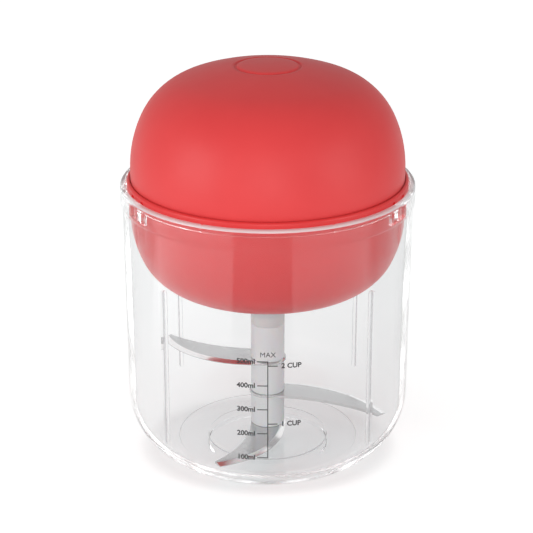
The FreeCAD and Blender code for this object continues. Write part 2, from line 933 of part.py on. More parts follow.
def make_commutator():
    low = commutator_low_z()
    ring = tube(commutator_r, motor_shaft_r, low, low + commutator_length)
    for place in spread(armature_poles):
        slit = block(commutator_r - commutator_slit_depth, commutator_r + 1,
                     -commutator_slit / 2, commutator_slit / 2,
                     low - 1, low + commutator_length + 1)
        ring = ring.cut(turned(slit, place))
    return ring


def make_brushes():
    low = commutator_low_z() + (commutator_length - brush_width) / 2
    start = commutator_r + running_gap
    bars = []
    for side in (0.0, 180.0):
        bar = block(start, start + brush_length, -brush_width / 2, brush_width / 2,
                    low, low + brush_width)
        arm_x = start + brush_length
        arm = block(arm_x - brush_arm, arm_x, -brush_width / 2, brush_width / 2,
                    low + brush_width, end_cap_z)
        bars.append(turned(join(bar, arm), side))
    return group(bars)


def make_motor_shaft():
    top = end_cap_z + end_cap_height + end_cap_boss_height / 2 - shaft_end_gap
    return rod(motor_shaft_r, planet_z, top)


# Cells, boards and switch
def cell_x():
    return (-cell_place, cell_place)


def make_cell(x):
    shoulder_z = cell_top_z - cell_nub_height
    body = revolved((0.0, cell_z),
                    [(cell_r - cell_edge, cell_z), (cell_r, cell_z + cell_edge),
                     (cell_r, shoulder_z - cell_edge), (cell_r - cell_edge, shoulder_z),
                     (cell_nub_r, shoulder_z), (cell_nub_r, cell_top_z), (0.0, cell_top_z)])
    body.translate(vec(x, 0, 0))
    return body


def make_cell_straps():
    """Nickel straps that run from the tops of the cells to tabs at the board."""
    straps = []
    for x in cell_x():
        inward = -1 if x > 0 else 1
        tab_x = inward * -(board_r - strap_tab_inset)
        low_x = min(x - cell_nub_r, tab_x - strap_thickness)
        high_x = max(x + cell_nub_r, tab_x + strap_thickness)
        flat = block(low_x, high_x, -strap_width / 2, strap_width / 2,
                     cell_top_z, cell_top_z + strap_thickness)
        edge = tab_x
        tab = block(min(edge, edge - inward * strap_thickness),
                    max(edge, edge - inward * strap_thickness),
                    -strap_width / 2, strap_width / 2, cell_top_z, board_z)
        straps.append(join(flat, tab))
    return group(straps)


def board_posts():
    return [vec(0, side * board_post_place, 0) for side in (-1, 1)]


def make_circuit_board():
    board = rod(board_r, board_z, switch_z)
    start = switch_size / 2 + board_part_gap
    chip = block(-start - chip_length, -start, -chip_length / 2, chip_length / 2,
                 switch_z, switch_z + chip_height)
    coil = block(start, start + coil_length, -coil_length / 2, coil_length / 2,
                 switch_z, switch_z + coil_height)
    plug = block(-plug_length / 2, plug_length / 2, plug_place - plug_width / 2,
                 plug_place + plug_width / 2, switch_z, switch_z + plug_height)
    board = join(board, chip, coil, plug)
    for p in board_posts():
        board = board.cut(rod(screw_r, board_z - 1, switch_z + 1, p.x, p.y))
    return board


def make_board_screws():
    return group(screw(switch_z, board_screw_length, p.x, p.y) for p in board_posts())


def make_switch_body():
    half = switch_size / 2
    body = block(-half, half, -half, half, switch_z, plunger_z)
    well = rod(plunger_root + running_gap, plunger_z - press_travel - plunger_root,
               plunger_z + 1)
    return body.cut(well)


def make_switch_plunger():
    """The switch's own button, with a wider root that its body holds in."""
    root_z = plunger_z - plunger_root / 2
    stem = rod(plunger_r, root_z, plunger_top_z)
    root = rod(plunger_root, root_z, plunger_z - plunger_root_gap)
    return join(stem, root)


# Frame inside the head
def frame_screw_places():
    return [polar(frame_screw_place, a) for a in spread(4, 45.0)]


def spring_places():
    return [polar(spring_place, a) for a in spread(spring_count, 45.0)]


def belly_solid(inset, top_z):
    """The lower housing's outside as a full solid, drawn in by an inset."""
    start, steps = shell_steps(housing_r, belly_side_z, belly_z, belly_flank_r,
                               belly_corner_r, belly_floor_r, inset)
    return revolved((0.0, top_z), [(housing_r - inset, top_z), start] + steps)


def charge_board_y():
    return dome_r - dome_wall - socket_depth + charge_board_gap


def make_inner_frame():
    """Plate, motor sleeve, cell cups, board posts and spring posts in one moulding."""
    plate = rod(housing_r, frame_z, frame_top_z).common(
        belly_solid(housing_wall + frame_edge_gap, flange_z))
    sleeve_in = motor_r + motor_sleeve_clearance
    sleeve = rod(sleeve_in + motor_sleeve_wall, frame_z, frame_z + motor_sleeve_height)
    pieces = [sleeve]
    cup_in = cell_r + cell_clearance
    cup_z = cell_z - cell_clearance - cell_cup_wall
    for x in cell_x():
        pieces.append(rod(cup_in + cell_cup_wall, cup_z, cup_z + cell_cup_height, x, 0))
    for p in board_posts():
        pieces.append(rod(board_post_r, frame_z, board_z, p.x, p.y))
    for p in spring_places():
        pieces.append(rod(spring_post_r, frame_z, spring_z, p.x, p.y))
        pieces.append(rod(spring_guide_r, spring_z, spring_z + spring_guide_height, p.x, p.y))
    board_low = tongue_top_z - charge_board_height
    slot_y = charge_board_y() - board_thickness
    middle_y = slot_y + board_thickness / 2
    pieces.append(block(-bracket_width / 2, bracket_width / 2, middle_y - bracket_depth / 2,
                        middle_y + bracket_depth / 2, frame_z, board_low + bracket_rise))
    frame = join(plate, *pieces)
    frame = frame.cut(rod(sleeve_in, frame_z - 1, frame_z + motor_sleeve_height + 1))
    for x in cell_x():
        frame = frame.cut(rod(cup_in, cup_z + cell_cup_wall, cup_z + cell_cup_height + 1, x, 0))
    for p in frame_screw_places():
        frame = frame.cut(rod(screw_r, frame_z - 1, frame_top_z + 1, p.x, p.y))
    for p in board_posts():
        frame = frame.cut(rod(screw_r, board_z - screw_length, board_z + 1, p.x, p.y))
    slot = block(-charge_board_width / 2, charge_board_width / 2, slot_y,
                 slot_y + board_thickness, board_low, board_low + board_slot_rise)
    return frame.cut(slot)


def make_frame_screws():
    return group(screw(frame_top_z, screw_length, p.x, p.y) for p in frame_screw_places())


def make_return_springs():
    """Coil springs on the frame's posts, each one round wire on a helix."""
    start_z = spring_z + spring_wire_r
    rise = spring_length - 2 * spring_wire_r
    pitch = rise / spring_turns
    coils = []
    for p in spring_places():
        helix = Part.makeHelix(pitch, rise, spring_mean_r)
        ring = Part.makeCircle(spring_wire_r, vec(spring_mean_r, 0, 0), vec(0, 1, 0))
        sweep = Part.Wire(helix).makePipeShell([Part.Wire(ring)], True, True)
        sweep.translate(vec(p.x, p.y, start_z))
        coils.append(sweep)
    return group(coils)


# Lower housing
def tongue_plate(inset_side, top_z, low_z, inner_inset):
    """The upright plate that carries the port, with two rounded upper corners."""
    half = tongue_width / 2 + inset_side
    corner = tongue_corner_r + inset_side
    front = block(-half, half, 0, rim_outer_r, low_z, top_z)
    for side in (-1, 1):
        waste = block(min(side * half, side * (half - corner)), max(side * half, side * (half - corner)),
                      -1, rim_outer_r + 1, top_z - corner, top_z + 1)
        keep = Part.makeCylinder(corner, rim_outer_r + 4,
                                 vec(side * (half - corner), -2, top_z - corner), BACK)
        front = front.cut(waste.cut(keep))
    return front.common(dome_solid(0.0, low_z)).cut(dome_solid(inner_inset, low_z - 1))


def cover_pin():
    y = dome_r - cover_recess + cover_face_gap + hinge_barrel_r
    z = port_z - cover_height / 2 + hinge_rise
    half = cover_width / 2 + hinge_pin_reach
    return Part.makeCylinder(hinge_pin_r, 2 * half, vec(-half, y, z), RIGHT)


def make_lower_housing():
    outer_start, outer_steps = shell_steps(housing_r, belly_side_z, belly_z, belly_flank_r,
                                           belly_corner_r, belly_floor_r)
    pole, outer_up = reversed_steps(outer_start, outer_steps)
    inner_start, inner_down = shell_steps(housing_r, belly_side_z, belly_z, belly_flank_r,
                                          belly_corner_r, belly_floor_r, housing_wall)
    edge = (collar_r - collar_edge_r, seam_z - collar_edge_r)
    body = revolved(
        pole,
        outer_up +
        [(housing_r, flange_z), (collar_r, flange_z), (collar_r, edge[1]),
         arc_step(edge, (collar_r, edge[1]), (edge[0], seam_z)),
         (collar_bore_r, seam_z), (collar_bore_r, bore_floor_z),
         (housing_inner_r, bore_floor_z), inner_start] + inner_down)
    body = join(body, *housing_bosses())
    body = join(body, tongue_plate(0.0, tongue_top_z, bore_floor_z, dome_wall),
                tongue_root())
    return cut_housing(body)


def tongue_root():
    """Fills the collar's bore under the port plate, so that the plate grows from it."""
    half = tongue_width / 2
    root = tube(collar_bore_r + tongue_root_bite, housing_inner_r, groove_z, seam_z)
    return root.common(block(-half, half, 0, rim_outer_r, groove_z, seam_z))


def housing_bosses():
    """Posts and rings that rise from the housing's floor to what they carry."""
    inside = belly_solid(housing_wall / 2, flange_z)
    shaft_boss_r = max(seal_r, bush_outer_r()) + shaft_boss_wall
    pieces = [rod(shaft_boss_r, belly_z, boss_z),
              tube(ring_gear_r, ring_gear_r - gearbox_wall, belly_z, ring_gear_z)]
    for p in ear_places():
        pieces.append(rod(gearbox_ear_r, belly_z, ring_gear_z, p.x, p.y))
    for p in frame_screw_places():
        pieces.append(rod(frame_boss_r, belly_z, frame_z, p.x, p.y))
    return [piece.common(inside) for piece in pieces]


def cut_housing(body):
    """Bores, screw holes, key channels and the port's openings."""
    seal_z = belly_z + seal_depth
    cuts = [rod(seal_r, belly_z - 1, seal_z + seal_height),
            rod(bush_outer_r(), boss_z - bush_length, boss_z + 1),
            rod(output_shaft_r + 4 * running_gap, belly_z, boss_z + 1)]
    for p in ear_places():
        cuts.append(rod(screw_r, motor_z - gearbox_screw_length, ring_gear_z + 1, p.x, p.y))
    for p in frame_screw_places():
        cuts.append(rod(screw_r, frame_top_z - screw_length, frame_z + 1, p.x, p.y))
    key_inner_r = outer_wall_r(ledge_z) - bowl_wall - key_depth - key_clearance
    side_gap = math.degrees(key_clearance / housing_r)
    for place, mirror in key_sets():
        hook_edge = key_hook_span / 2 + side_gap
        block_edge = key_block_place - key_hook_place + key_block_span / 2 + side_gap
        span = hook_edge + block_edge
        middle = from_front(place) + mirror * (block_edge - hook_edge) / 2
        cuts.append(ring_sector(key_inner_r, rim_outer_r, belly_z, flange_z, middle, span))
        for offset, width in ((0.0, key_hook_span),
                              (key_block_place - key_hook_place, key_block_span / 2)):
            cuts.append(ring_sector(collar_r - key_notch_depth, rim_outer_r, flange_z - 1,
                                    bowl_height + key_notch_rise,
                                    from_front(place) + mirror * offset, width))
    window_span = catch_span + 2 * side_gap
    for place in catch_places:
        cuts.append(ring_sector(housing_inner_r - 1, groove_r, groove_z, catch_z,
                                from_front(place), window_span))
    cuts += port_cuts()
    for piece in cuts:
        body = body.cut(piece)
    return body


def port_cuts():
    """The cover's recess, the socket's slot, the hinge pin's hole and the light's hole."""
    half_w = cover_width / 2 + cover_gap
    half_h = cover_height / 2 + cover_gap
    face_y = dome_r - cover_recess
    recess = block(-half_w, half_w, face_y, rim_outer_r, port_z - half_h, port_z + half_h)
    slot = rounded_bar(socket_width + 2 * cover_gap, socket_height + 2 * cover_gap,
                       dome_r - 3 * dome_wall, rim_outer_r, port_z)
    light = Part.makeCylinder(light_pipe_r, 4 * dome_wall,
                              vec(0, dome_r - 3 * dome_wall, light_z), BACK)
    return [recess, slot, cover_pin(), light]


def rounded_bar(width, height, y_low, y_high, middle_z):
    """A bar along Y with half-round sides, the shape of the charging socket."""
    length = y_high - y_low
    reach = width / 2 - height / 2
    core = block(-reach, reach, y_low, y_high, middle_z - height / 2, middle_z + height / 2)
    ends = [Part.makeCylinder(height / 2, length, vec(side * reach, y_low, middle_z), BACK)
            for side in (-1, 1)]
    return join(core, *ends)


def make_charging_socket():
    """A metal shell with the contact tongue inside, its back closed."""
    y_high = dome_r - socket_setback
    y_low = charge_board_y()
    shell = rounded_bar(socket_width, socket_height, y_low, y_high, port_z)
    hollow = rounded_bar(socket_width - 2 * socket_wall, socket_height - 2 * socket_wall,
                         y_low + socket_back, y_high + 1, port_z)
    reach = socket_width / 2 - socket_height / 2
    contact = block(-reach, reach, y_low + socket_blade_gap, y_high - socket_blade_setback,
                    port_z - socket_blade / 2, port_z + socket_blade / 2)
    return join(shell.cut(hollow), contact)


def make_charge_board():
    y_high = charge_board_y()
    low = tongue_top_z - charge_board_height
    board = block(-charge_board_width / 2, charge_board_width / 2, y_high - board_thickness,
                  y_high, low, tongue_top_z)
    return board


def make_light_pipe():
    y_low = charge_board_y()
    length = dome_r - light_setback - y_low
    return Part.makeCylinder(light_pipe_r, length, vec(0, y_low, light_z), BACK)


def make_port_cover():
    """A soft flap on a pin, flush with the dome, with a plug that fits the socket's mouth."""
    half = cover_width / 2
    y_in = dome_r - cover_recess + cover_face_gap
    pin_y = y_in + hinge_barrel_r
    pin_z = port_z - cover_height / 2 + hinge_rise
    flap = block(-half, half, y_in, rim_outer_r, pin_z, port_z + cover_height / 2)
    flap = flap.common(dome_solid(cover_face_gap, seam_z))
    barrel = Part.makeCylinder(hinge_barrel_r, cover_width, vec(-half, pin_y, pin_z), RIGHT)
    inner = 2 * (socket_wall + 2 * cover_gap)
    plug = rounded_bar(socket_width - inner, socket_height - inner,
                       y_in - cover_plug_depth, y_in + cover_face_gap, port_z)
    lip_y = dome_r - cover_face_gap
    lip = Part.makeCylinder(lip_r, lip_length,
                            vec(-lip_length / 2, lip_y, port_z + cover_height / 2 - lip_r), RIGHT)
    cover = join(flap, barrel, plug, lip)
    return cover.cut(Part.makeCylinder(hinge_pin_r + running_gap, cover_width + 2,
                                       vec(-half - 1, pin_y, pin_z), RIGHT))


# Press dome
def dome_solid(inset, low_z):
    """The press dome's outside as a full solid, drawn in by an inset."""
    start, steps = shell_steps(dome_r, dome_side_z, dome_top_z, dome_flank_r,
                               dome_shoulder_r, dome_crown_r, inset)
    return revolved((0.0, low_z), [(dome_r - inset, low_z), start] + steps)


def dome_catch(place):
    """A snap hook on the skirt: sloped below, square above."""
    root_r = skirt_r - skirt_wall / 2
    catch_r = skirt_r + catch_depth
    hook = revolved((root_r, skirt_z),
                    [(skirt_r, skirt_z), (catch_r, skirt_z + catch_height / 2),
                     (catch_r, skirt_z + catch_height), (root_r, skirt_z + catch_height)],
                    catch_span)
    return turned(hook, from_front(place) - catch_span / 2)


def make_press_dome():
    shell = dome_solid(0.0, dome_edge_z).cut(dome_solid(dome_wall, dome_edge_z - 1))
    rim = tube(dome_r - dome_wall / 2, skirt_r - skirt_wall, dome_edge_z,
               dome_edge_z + dome_rim_height)
    skirt = tube(skirt_r, skirt_r - skirt_wall, skirt_z, dome_edge_z + dome_rim_height / 2)
    inside = dome_solid(dome_wall / 2, dome_edge_z)
    pieces = [rim, skirt] + [dome_catch(place) for place in catch_places]
    pieces.append(rod(switch_boss_r, plunger_top_z + switch_gap, dome_top_z).common(inside))
    for p in spring_places():
        sleeve = rod(sleeve_r, sleeve_z, dome_top_z, p.x, p.y)
        pieces.append(sleeve.common(inside))
    for place in spread(spring_count, 45.0):
        web = block(spring_place, dome_r, -sleeve_web / 2, sleeve_web / 2, sleeve_z, dome_top_z)
        pieces.append(turned(web, place).common(inside))
    dome = join(shell, *pieces)
    for p in spring_places():
        guide_top = spring_z + spring_guide_height
        dome = dome.cut(rod(sleeve_bore_r, sleeve_z - 1, guide_top + press_travel + stop_gap,
                            p.x, p.y))
    notch_top = tongue_top_z + press_travel + tongue_gap
    half = tongue_width / 2 + tongue_gap
    notch = block(-half, half, dome_r / 2, rim_outer_r, skirt_z - 1, notch_top)
    corner = tongue_corner_r + tongue_gap
    for side in (-1, 1):
        waste = block(min(side * half, side * (half - corner)),
                      max(side * half, side * (half - corner)),
                      0, rim_outer_r + 1, notch_top - corner, notch_top + 1)
        keep = Part.makeCylinder(corner, rim_outer_r + 4,
                                 vec(side * (half - corner), -2, notch_top - corner), BACK)
        notch = notch.cut(waste.cut(keep))
    dome = dome.cut(notch)
    groove_low = dome_top_z - crown_ring_depth - crown_sag(crown_ring_r)
    groove = tube(crown_ring_r + crown_ring_width, crown_ring_r, groove_low, dome_top_z + 1)
    return dome.cut(groove)


def crown_sag(radius):
    """How far the crown has dropped at a radius."""
    return dome_crown_r - math.sqrt(dome_crown_r ** 2 - radius ** 2)


def make_motor_leads():
    """Two leads from the motor's end cap up to the board."""
    low = end_cap_z + end_cap_height
    return group(rod(lead_r, low, board_z, 0, side * (motor_r - lead_inset)) for side in (-1, 1))


def all_parts():
    parts = {
        "bowl": make_bowl(),
        "pivot_pin": make_pivot_pin(),
        "blade_spindle": make_spindle(),
        "pivot_bush": make_pivot_bush(),
        "lower_blade": make_blade(lower_blade_reach, blade_belly, lower_blade_turn, lower_blade_z),
        "middle_blade": make_blade(middle_blade_reach, blade_belly, middle_blade_turn, middle_blade_z),
        "upper_blade": make_blade(upper_blade_reach, upper_blade_belly, upper_blade_turn, upper_blade_z),
        "lower_spacer": make_spacer(lower_spacer_z, middle_blade_z),
        "middle_spacer": make_spacer(middle_spacer_z, upper_blade_z),
        "upper_spacer": make_spacer(upper_spacer_z, cap_z),
        "drive_cap": make_drive_cap(),
        "lower_housing": make_lower_housing(),
        "press_dome": make_press_dome(),
        "inner_frame": make_inner_frame(),
        "frame_screws": make_frame_screws(),
        "return_springs": make_return_springs(),
        "drive_dog": make_drive_dog(),
        "output_shaft": make_output_shaft(),
        "shaft_seal": make_shaft_seal(),
        "output_bush": make_output_bush(),
        "planet_carrier": make_carrier(),
        "planet_pins": make_planet_pins(),
        "ring_gear": make_ring_gear(),
        "sun_gear": make_sun_gear(),
        "motor_plate": make_motor_plate(),
        "motor_screws": make_motor_screws(),
        "gearbox_screws": make_gearbox_screws(),
        "motor_can": make_motor_can(),
        "motor_magnets": make_motor_magnets(),
        "motor_bushes": make_motor_bushes(),
        "motor_end_cap": make_motor_end_cap(),
        "motor_brushes": make_brushes(),
        "motor_leads": make_motor_leads(),
        "motor_shaft": make_motor_shaft(),
        "armature": make_armature(),
        "commutator": make_commutator(),
        "left_cell": make_cell(-cell_place),
        "right_cell": make_cell(cell_place),
        "cell_straps": make_cell_straps(),
        "circuit_board": make_circuit_board(),
        "board_screws": make_board_screws(),
        "switch_body": make_switch_body(),
        "switch_plunger": make_switch_plunger(),
        "charge_board": make_charge_board(),
        "charging_socket": make_charging_socket(),
        "charge_light": make_light_pipe(),
        "port_cover": make_port_cover(),
        "cover_pin": cover_pin(),
    }
    for number, place in enumerate(spread(planet_count), start=1):
        parts["planet_gear_%d" % number] = make_planet_gear(place)
    return parts


os.makedirs("parts", exist_ok=True)
for name, shape in all_parts().items():
    shape.exportStep("parts/%s.step" % name)
    print("%-18s %2d solids  volume %9.1f  valid %s"
          % (name, len(shape.Solids), shape.Volume, shape.isValid()))
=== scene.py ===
# %% [markdown]
# # A cordless food chopper, dressed for its portrait
#
# The chopper has three parts that come apart by hand: a clear bowl, a rotor with
# three curved blades that stands on a pin in the bowl, and a round coral-red motor
# head that hangs in the bowl's mouth. This lesson models each piece that shows,
# at its real size, and gives it its own finish. The pieces inside the head keep
# the shapes of the construction model and only get materials.
#
# All sizes are written in millimetres and turned into metres by one factor.

# %% Load the construction model
import bpy
import bmesh
import json
import math
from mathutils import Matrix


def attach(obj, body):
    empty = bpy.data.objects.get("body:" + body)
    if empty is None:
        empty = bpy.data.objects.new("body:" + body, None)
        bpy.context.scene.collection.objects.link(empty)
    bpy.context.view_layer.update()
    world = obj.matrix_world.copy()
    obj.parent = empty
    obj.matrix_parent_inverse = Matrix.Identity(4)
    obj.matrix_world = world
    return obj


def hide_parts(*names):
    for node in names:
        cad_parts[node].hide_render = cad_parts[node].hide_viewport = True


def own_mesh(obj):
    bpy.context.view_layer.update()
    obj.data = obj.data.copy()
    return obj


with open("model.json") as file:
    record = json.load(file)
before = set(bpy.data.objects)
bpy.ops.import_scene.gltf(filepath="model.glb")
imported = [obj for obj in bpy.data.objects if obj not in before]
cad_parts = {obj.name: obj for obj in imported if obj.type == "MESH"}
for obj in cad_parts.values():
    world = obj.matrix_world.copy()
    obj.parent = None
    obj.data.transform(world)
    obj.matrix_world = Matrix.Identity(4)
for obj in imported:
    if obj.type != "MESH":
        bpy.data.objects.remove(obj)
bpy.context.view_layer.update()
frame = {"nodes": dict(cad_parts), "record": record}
nodes = frame["nodes"]

# %% [markdown]
# ## Sizes
#
# Every piece is worked out from a few real sizes, so that what seats on, passes
# through or lines up with another piece takes the same value. Heights are above
# the table, and radii are from the blades' axis.

# %% Sizes in millimetres
MM = 0.001
ROUND_STEPS = 192
BOWL_HEIGHT = 118.7
RIM_R = 59.2
MOUTH_R = 56.9
LEDGE_Z = 115.2
BAND_Z = 110.2
WALL_R = 58.4
WALL = 2.6
DRAFT = math.radians(0.35)
CORNER_R = 29.0
INNER_CORNER_R = 20.5
FLOOR_Z = 6.0
SEAM_Z = 120.8
COLLAR_R = 56.5
COLLAR_BORE_R = 55.3
FLANGE_Z = 115.3
HOUSING_R = 54.8
HOUSING_WALL = 2.4
DOME_R = 55.0
DOME_WALL = 2.6
DOME_EDGE_Z = 120.3
DOME_TOP_Z = 166.8
HUB_R = 7.0
BLADE_THICKNESS = 1.0
PORT_Z = 128.2
TONGUE_WIDTH = 22.0
TONGUE_TOP_Z = 137.3


# %% [markdown]
# ## Drawing an outline and turning it
#
# Almost everything here is round about one axis, as turned or moulded parts are.
# On paper such a piece is half of its section. In Blender the same drawing is made
# by hand with one corner that is extruded from point to point, and the Spin tool
# then turns the line round the axis. Arcs are points from a formula, close enough
# together to look smooth.

# %% Helpers for outlines
def arc(centre, radius, start, end, count):
    """Points on an arc in the drawing plane, from one angle to another, in degrees."""
    points = []
    for i in range(count + 1):
        angle = math.radians(start + (end - start) * i / count)
        points.append((centre[0] + radius * math.cos(angle), centre[1] + radius * math.sin(angle)))
    return points


def angle_of(centre, point):
    return math.degrees(math.atan2(point[1] - centre[1], point[0] - centre[0]))


def deselect():
    if bpy.context.object and bpy.context.object.mode != "OBJECT":
        bpy.ops.object.mode_set(mode="OBJECT")
    bpy.ops.object.select_all(action="DESELECT")


def pick(piece):
    """Selects one piece and makes it the active one."""
    deselect()
    piece.select_set(True)
    bpy.context.view_layer.objects.active = piece
    return piece


def settle():
    """Applies the active piece's place, turn and scale to its mesh."""
    bpy.ops.object.transform_apply(location=True, rotation=True, scale=True)


def added(name):
    """The piece that was just added, named and settled."""
    piece = bpy.context.object
    piece.name = name
    settle()
    return piece


def place(point, plane):
    """A drawing point as a place in the scene: XZ for turned sections, XY for plans."""
    if plane == "XZ":
        return (point[0] * MM, 0.0, point[1] * MM)
    return (point[0] * MM, point[1] * MM, 0.0)


def draw(name, points, plane="XZ"):
    """Draws a bent line by extruding one corner from point to point."""
    deselect()
    spots = [place(p, plane) for p in points]
    bpy.ops.mesh.primitive_plane_add(size=MM, location=spots[0])
    piece = added(name)
    piece.data.name = name
    bpy.ops.object.mode_set(mode="EDIT")
    bpy.ops.mesh.select_all(action="SELECT")
    bpy.ops.mesh.merge(type="CENTER")
    for here, there in zip(spots, spots[1:]):
        step = [b - a for a, b in zip(here, there)]
        bpy.ops.mesh.extrude_region_move(TRANSFORM_OT_translate={"value": step})
    bpy.ops.mesh.select_all(action="SELECT")
    bpy.ops.mesh.remove_doubles(threshold=1e-6)
    return piece


def clean(piece, fill=False):
    """Merges doubles, closes open ends if asked, and turns all faces outwards."""
    bpy.context.view_layer.objects.active = piece
    if piece.mode != "EDIT":
        bpy.ops.object.mode_set(mode="EDIT")
    bpy.ops.mesh.select_all(action="SELECT")
    bpy.ops.mesh.remove_doubles(threshold=2e-6)
    if fill:
        bpy.ops.mesh.fill_holes(sides=0)
    bpy.ops.mesh.select_all(action="SELECT")
    bpy.ops.mesh.normals_make_consistent(inside=False)
    bpy.ops.object.mode_set(mode="OBJECT")
    return piece


def turn(name, points, steps=ROUND_STEPS):
    """A round piece: the section is drawn and spun once round the axis."""
    piece = draw(name, points)
    bpy.ops.mesh.spin(steps=steps, angle=2 * math.pi, center=(0, 0, 0), axis=(0, 0, 1))
    return clean(piece)


def sector(name, corners, middle, span, steps=12):
    """A piece of a ring: a closed section, spun through part of a turn."""
    piece = draw(name, corners + corners[:1])
    turned_by = math.radians(span)
    bpy.ops.mesh.spin(steps=steps, angle=turned_by, center=(0, 0, 0), axis=(0, 0, 1))
    clean(piece, fill=True)
    spin_to(piece, middle)
    angles = [math.atan2(v.co.y, v.co.x) for v in piece.data.vertices]
    drift = math.radians(middle) - (min(angles) + max(angles)) / 2
    if abs(drift) > 1e-4 and abs(abs(drift) - math.pi) > 1e-3:
        spin_to(piece, math.degrees(drift))
    return clean(piece)


def spin_to(piece, degrees):
    """Turns a piece about the blades' axis and keeps its object at the origin."""
    pick(piece).rotation_euler = (0, 0, math.radians(degrees))
    settle()
    return piece


def move_to(piece, x, y, z):
    pick(piece).location = (x * MM, y * MM, z * MM)
    settle()
    return piece


def modified(piece, kind, **values):
    """Adds a modifier with its values and applies it at once."""
    pick(piece)
    bpy.ops.object.modifier_add(type=kind)
    modifier = piece.modifiers[-1]
    for name, value in values.items():
        setattr(modifier, name, value)
    bpy.ops.object.modifier_apply(modifier=modifier.name)
    return piece


def boolean(piece, tool, operation="DIFFERENCE"):
    """Cuts or joins with a tool piece, which is then thrown away."""
    modified(piece, "BOOLEAN", operation=operation, solver="EXACT", object=tool)
    bpy.data.objects.remove(tool)
    return piece


def soften(piece, width, segments=2, angle=40.0):
    """Rounds the sharp edges a little, as every moulded or ground edge is."""
    return modified(piece, "BEVEL", width=width * MM, segments=segments, limit_method="ANGLE",
                    angle_limit=math.radians(angle), harden_normals=False)


def smooth(piece, angle=30.0):
    pick(piece)
    bpy.ops.object.shade_smooth_by_angle(angle=math.radians(angle))
    return piece


def dress(piece, material, body, slot, *replaced):
    """Gives a finished piece its material and its body, and hides the construction nodes that it stands for.
    """
    piece.data.materials.clear()
    piece.data.materials.append(material)
    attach(piece, body)
    if replaced:
        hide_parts(*replaced)
    print("%-16s %6d faces" % (piece.name, len(piece.data.polygons)))
    return piece


# %% [markdown]
# ## Finishes
#
# A finish is more than a colour: moulded plastic has a fine grain and small changes
# of tone, ground steel has scratches along its length, and clear plastic is only
# seen by what it bends and reflects. Each finish is a small node network on Object
# coordinates, which are metres here, so that its grain keeps its real size.

# %% Helpers for materials
def new_material(name):
    material = bpy.data.materials.new(name)
    material.use_nodes = True
    tree = material.node_tree
    shader = tree.nodes["Principled BSDF"]
    return material, tree, shader


def constants(node, values):
    """Gives a node's inputs their fixed values."""
    for name, value in values.items():
        node.inputs[name].default_value = value


def wired(tree, node, sources):
    """Links sockets to a node's inputs."""
    for name, source in sources.items():
        tree.links.new(source, node.inputs[name])


def object_coordinates(tree, stretch=(1.0, 1.0, 1.0)):
    where = tree.nodes.new("ShaderNodeTexCoord")
    mapping = tree.nodes.new("ShaderNodeMapping")
    constants(mapping, {"Scale": stretch})
    tree.links.new(where.outputs["Object"], mapping.inputs["Vector"])
    return mapping.outputs["Vector"]


def noise(tree, vector, scale, detail=3.0, roughness=0.5):
    node = tree.nodes.new("ShaderNodeTexNoise")
    constants(node, {"Scale": scale, "Detail": detail, "Roughness": roughness})
    tree.links.new(vector, node.inputs["Vector"])
    return node.outputs["Fac"]


def ranged(tree, value, target, source=(0.0, 1.0)):
    """Maps one range of a value to another and holds it at the ends."""
    node = tree.nodes.new("ShaderNodeMapRange")
    constants(node, {"From Min": source[0], "From Max": source[1], "To Min": target[0], "To Max": target[1]})
    tree.links.new(value, node.inputs["Value"])
    return node.outputs["Result"]


def calculated(tree, operation, first, second):
    """Two values worked together by the named operation."""
    node = tree.nodes.new("ShaderNodeMath")
    node.operation = operation
    wired(tree, node, {0: first, 1: second})
    return node.outputs[0]


def seen_by(tree, *rays):
    """One value that is 1 for any of the named kinds of ray."""
    path = tree.nodes.new("ShaderNodeLightPath")
    value = path.outputs[rays[0]]
    for ray in rays[1:]:
        value = calculated(tree, "MAXIMUM", value, path.outputs[ray])
    return value


def distance_from_axis(tree, vector):
    node = tree.nodes.new("ShaderNodeVectorMath")
    node.operation = "LENGTH"
    tree.links.new(vector, node.inputs[0])
    return node.outputs["Value"]


def mixed(tree, factor, first, second, output):
    """Mixes two shaders and sends them to the named output."""
    mix = tree.nodes.new("ShaderNodeMixShader")
    wired(tree, mix, {0: factor, 1: first, 2: second})
    wired(tree, tree.nodes[output], {"Surface": mix.outputs["Shader"]})


def tones(tree, factor, dark, light):
    """A pattern's lower values in the dark tone, its upper ones in the light tone."""
    ramp = tree.nodes.new("ShaderNodeValToRGB")
    for stop, position, tone in zip(ramp.color_ramp.elements, (0.3, 0.7), (dark, light)):
        stop.position = position
        stop.color = (*tone, 1.0)
    tree.links.new(factor, ramp.inputs["Fac"])
    return ramp.outputs["Color"]


def bumpy(tree, shader, height, strength, distance):
    bump = tree.nodes.new("ShaderNodeBump")
    constants(bump, {"Strength": strength, "Distance": distance})
    tree.links.new(height, bump.inputs["Height"])
    tree.links.new(bump.outputs["Normal"], shader.inputs["Normal"])


def moulded(name, dark, light, roughness, grain=900.0, depth=0.00003, specular=0.5):
    """Moulded plastic: soft clouds of tone, a fine grain and uneven gloss."""
    material, tree, shader = new_material(name)
    vector = object_coordinates(tree)
    clouds = noise(tree, vector, 28.0, 4.0)
    gloss = noise(tree, vector, 120.0, 3.0)
    wired(tree, shader, {"Base Color": tones(tree, clouds, dark, light),
                         "Roughness": ranged(tree, gloss, (roughness - 0.04, roughness + 0.04))})
    constants(shader, {"Specular IOR Level": specular})
    bumpy(tree, shader, noise(tree, vector, grain, 2.0), 0.35, depth)
    return material


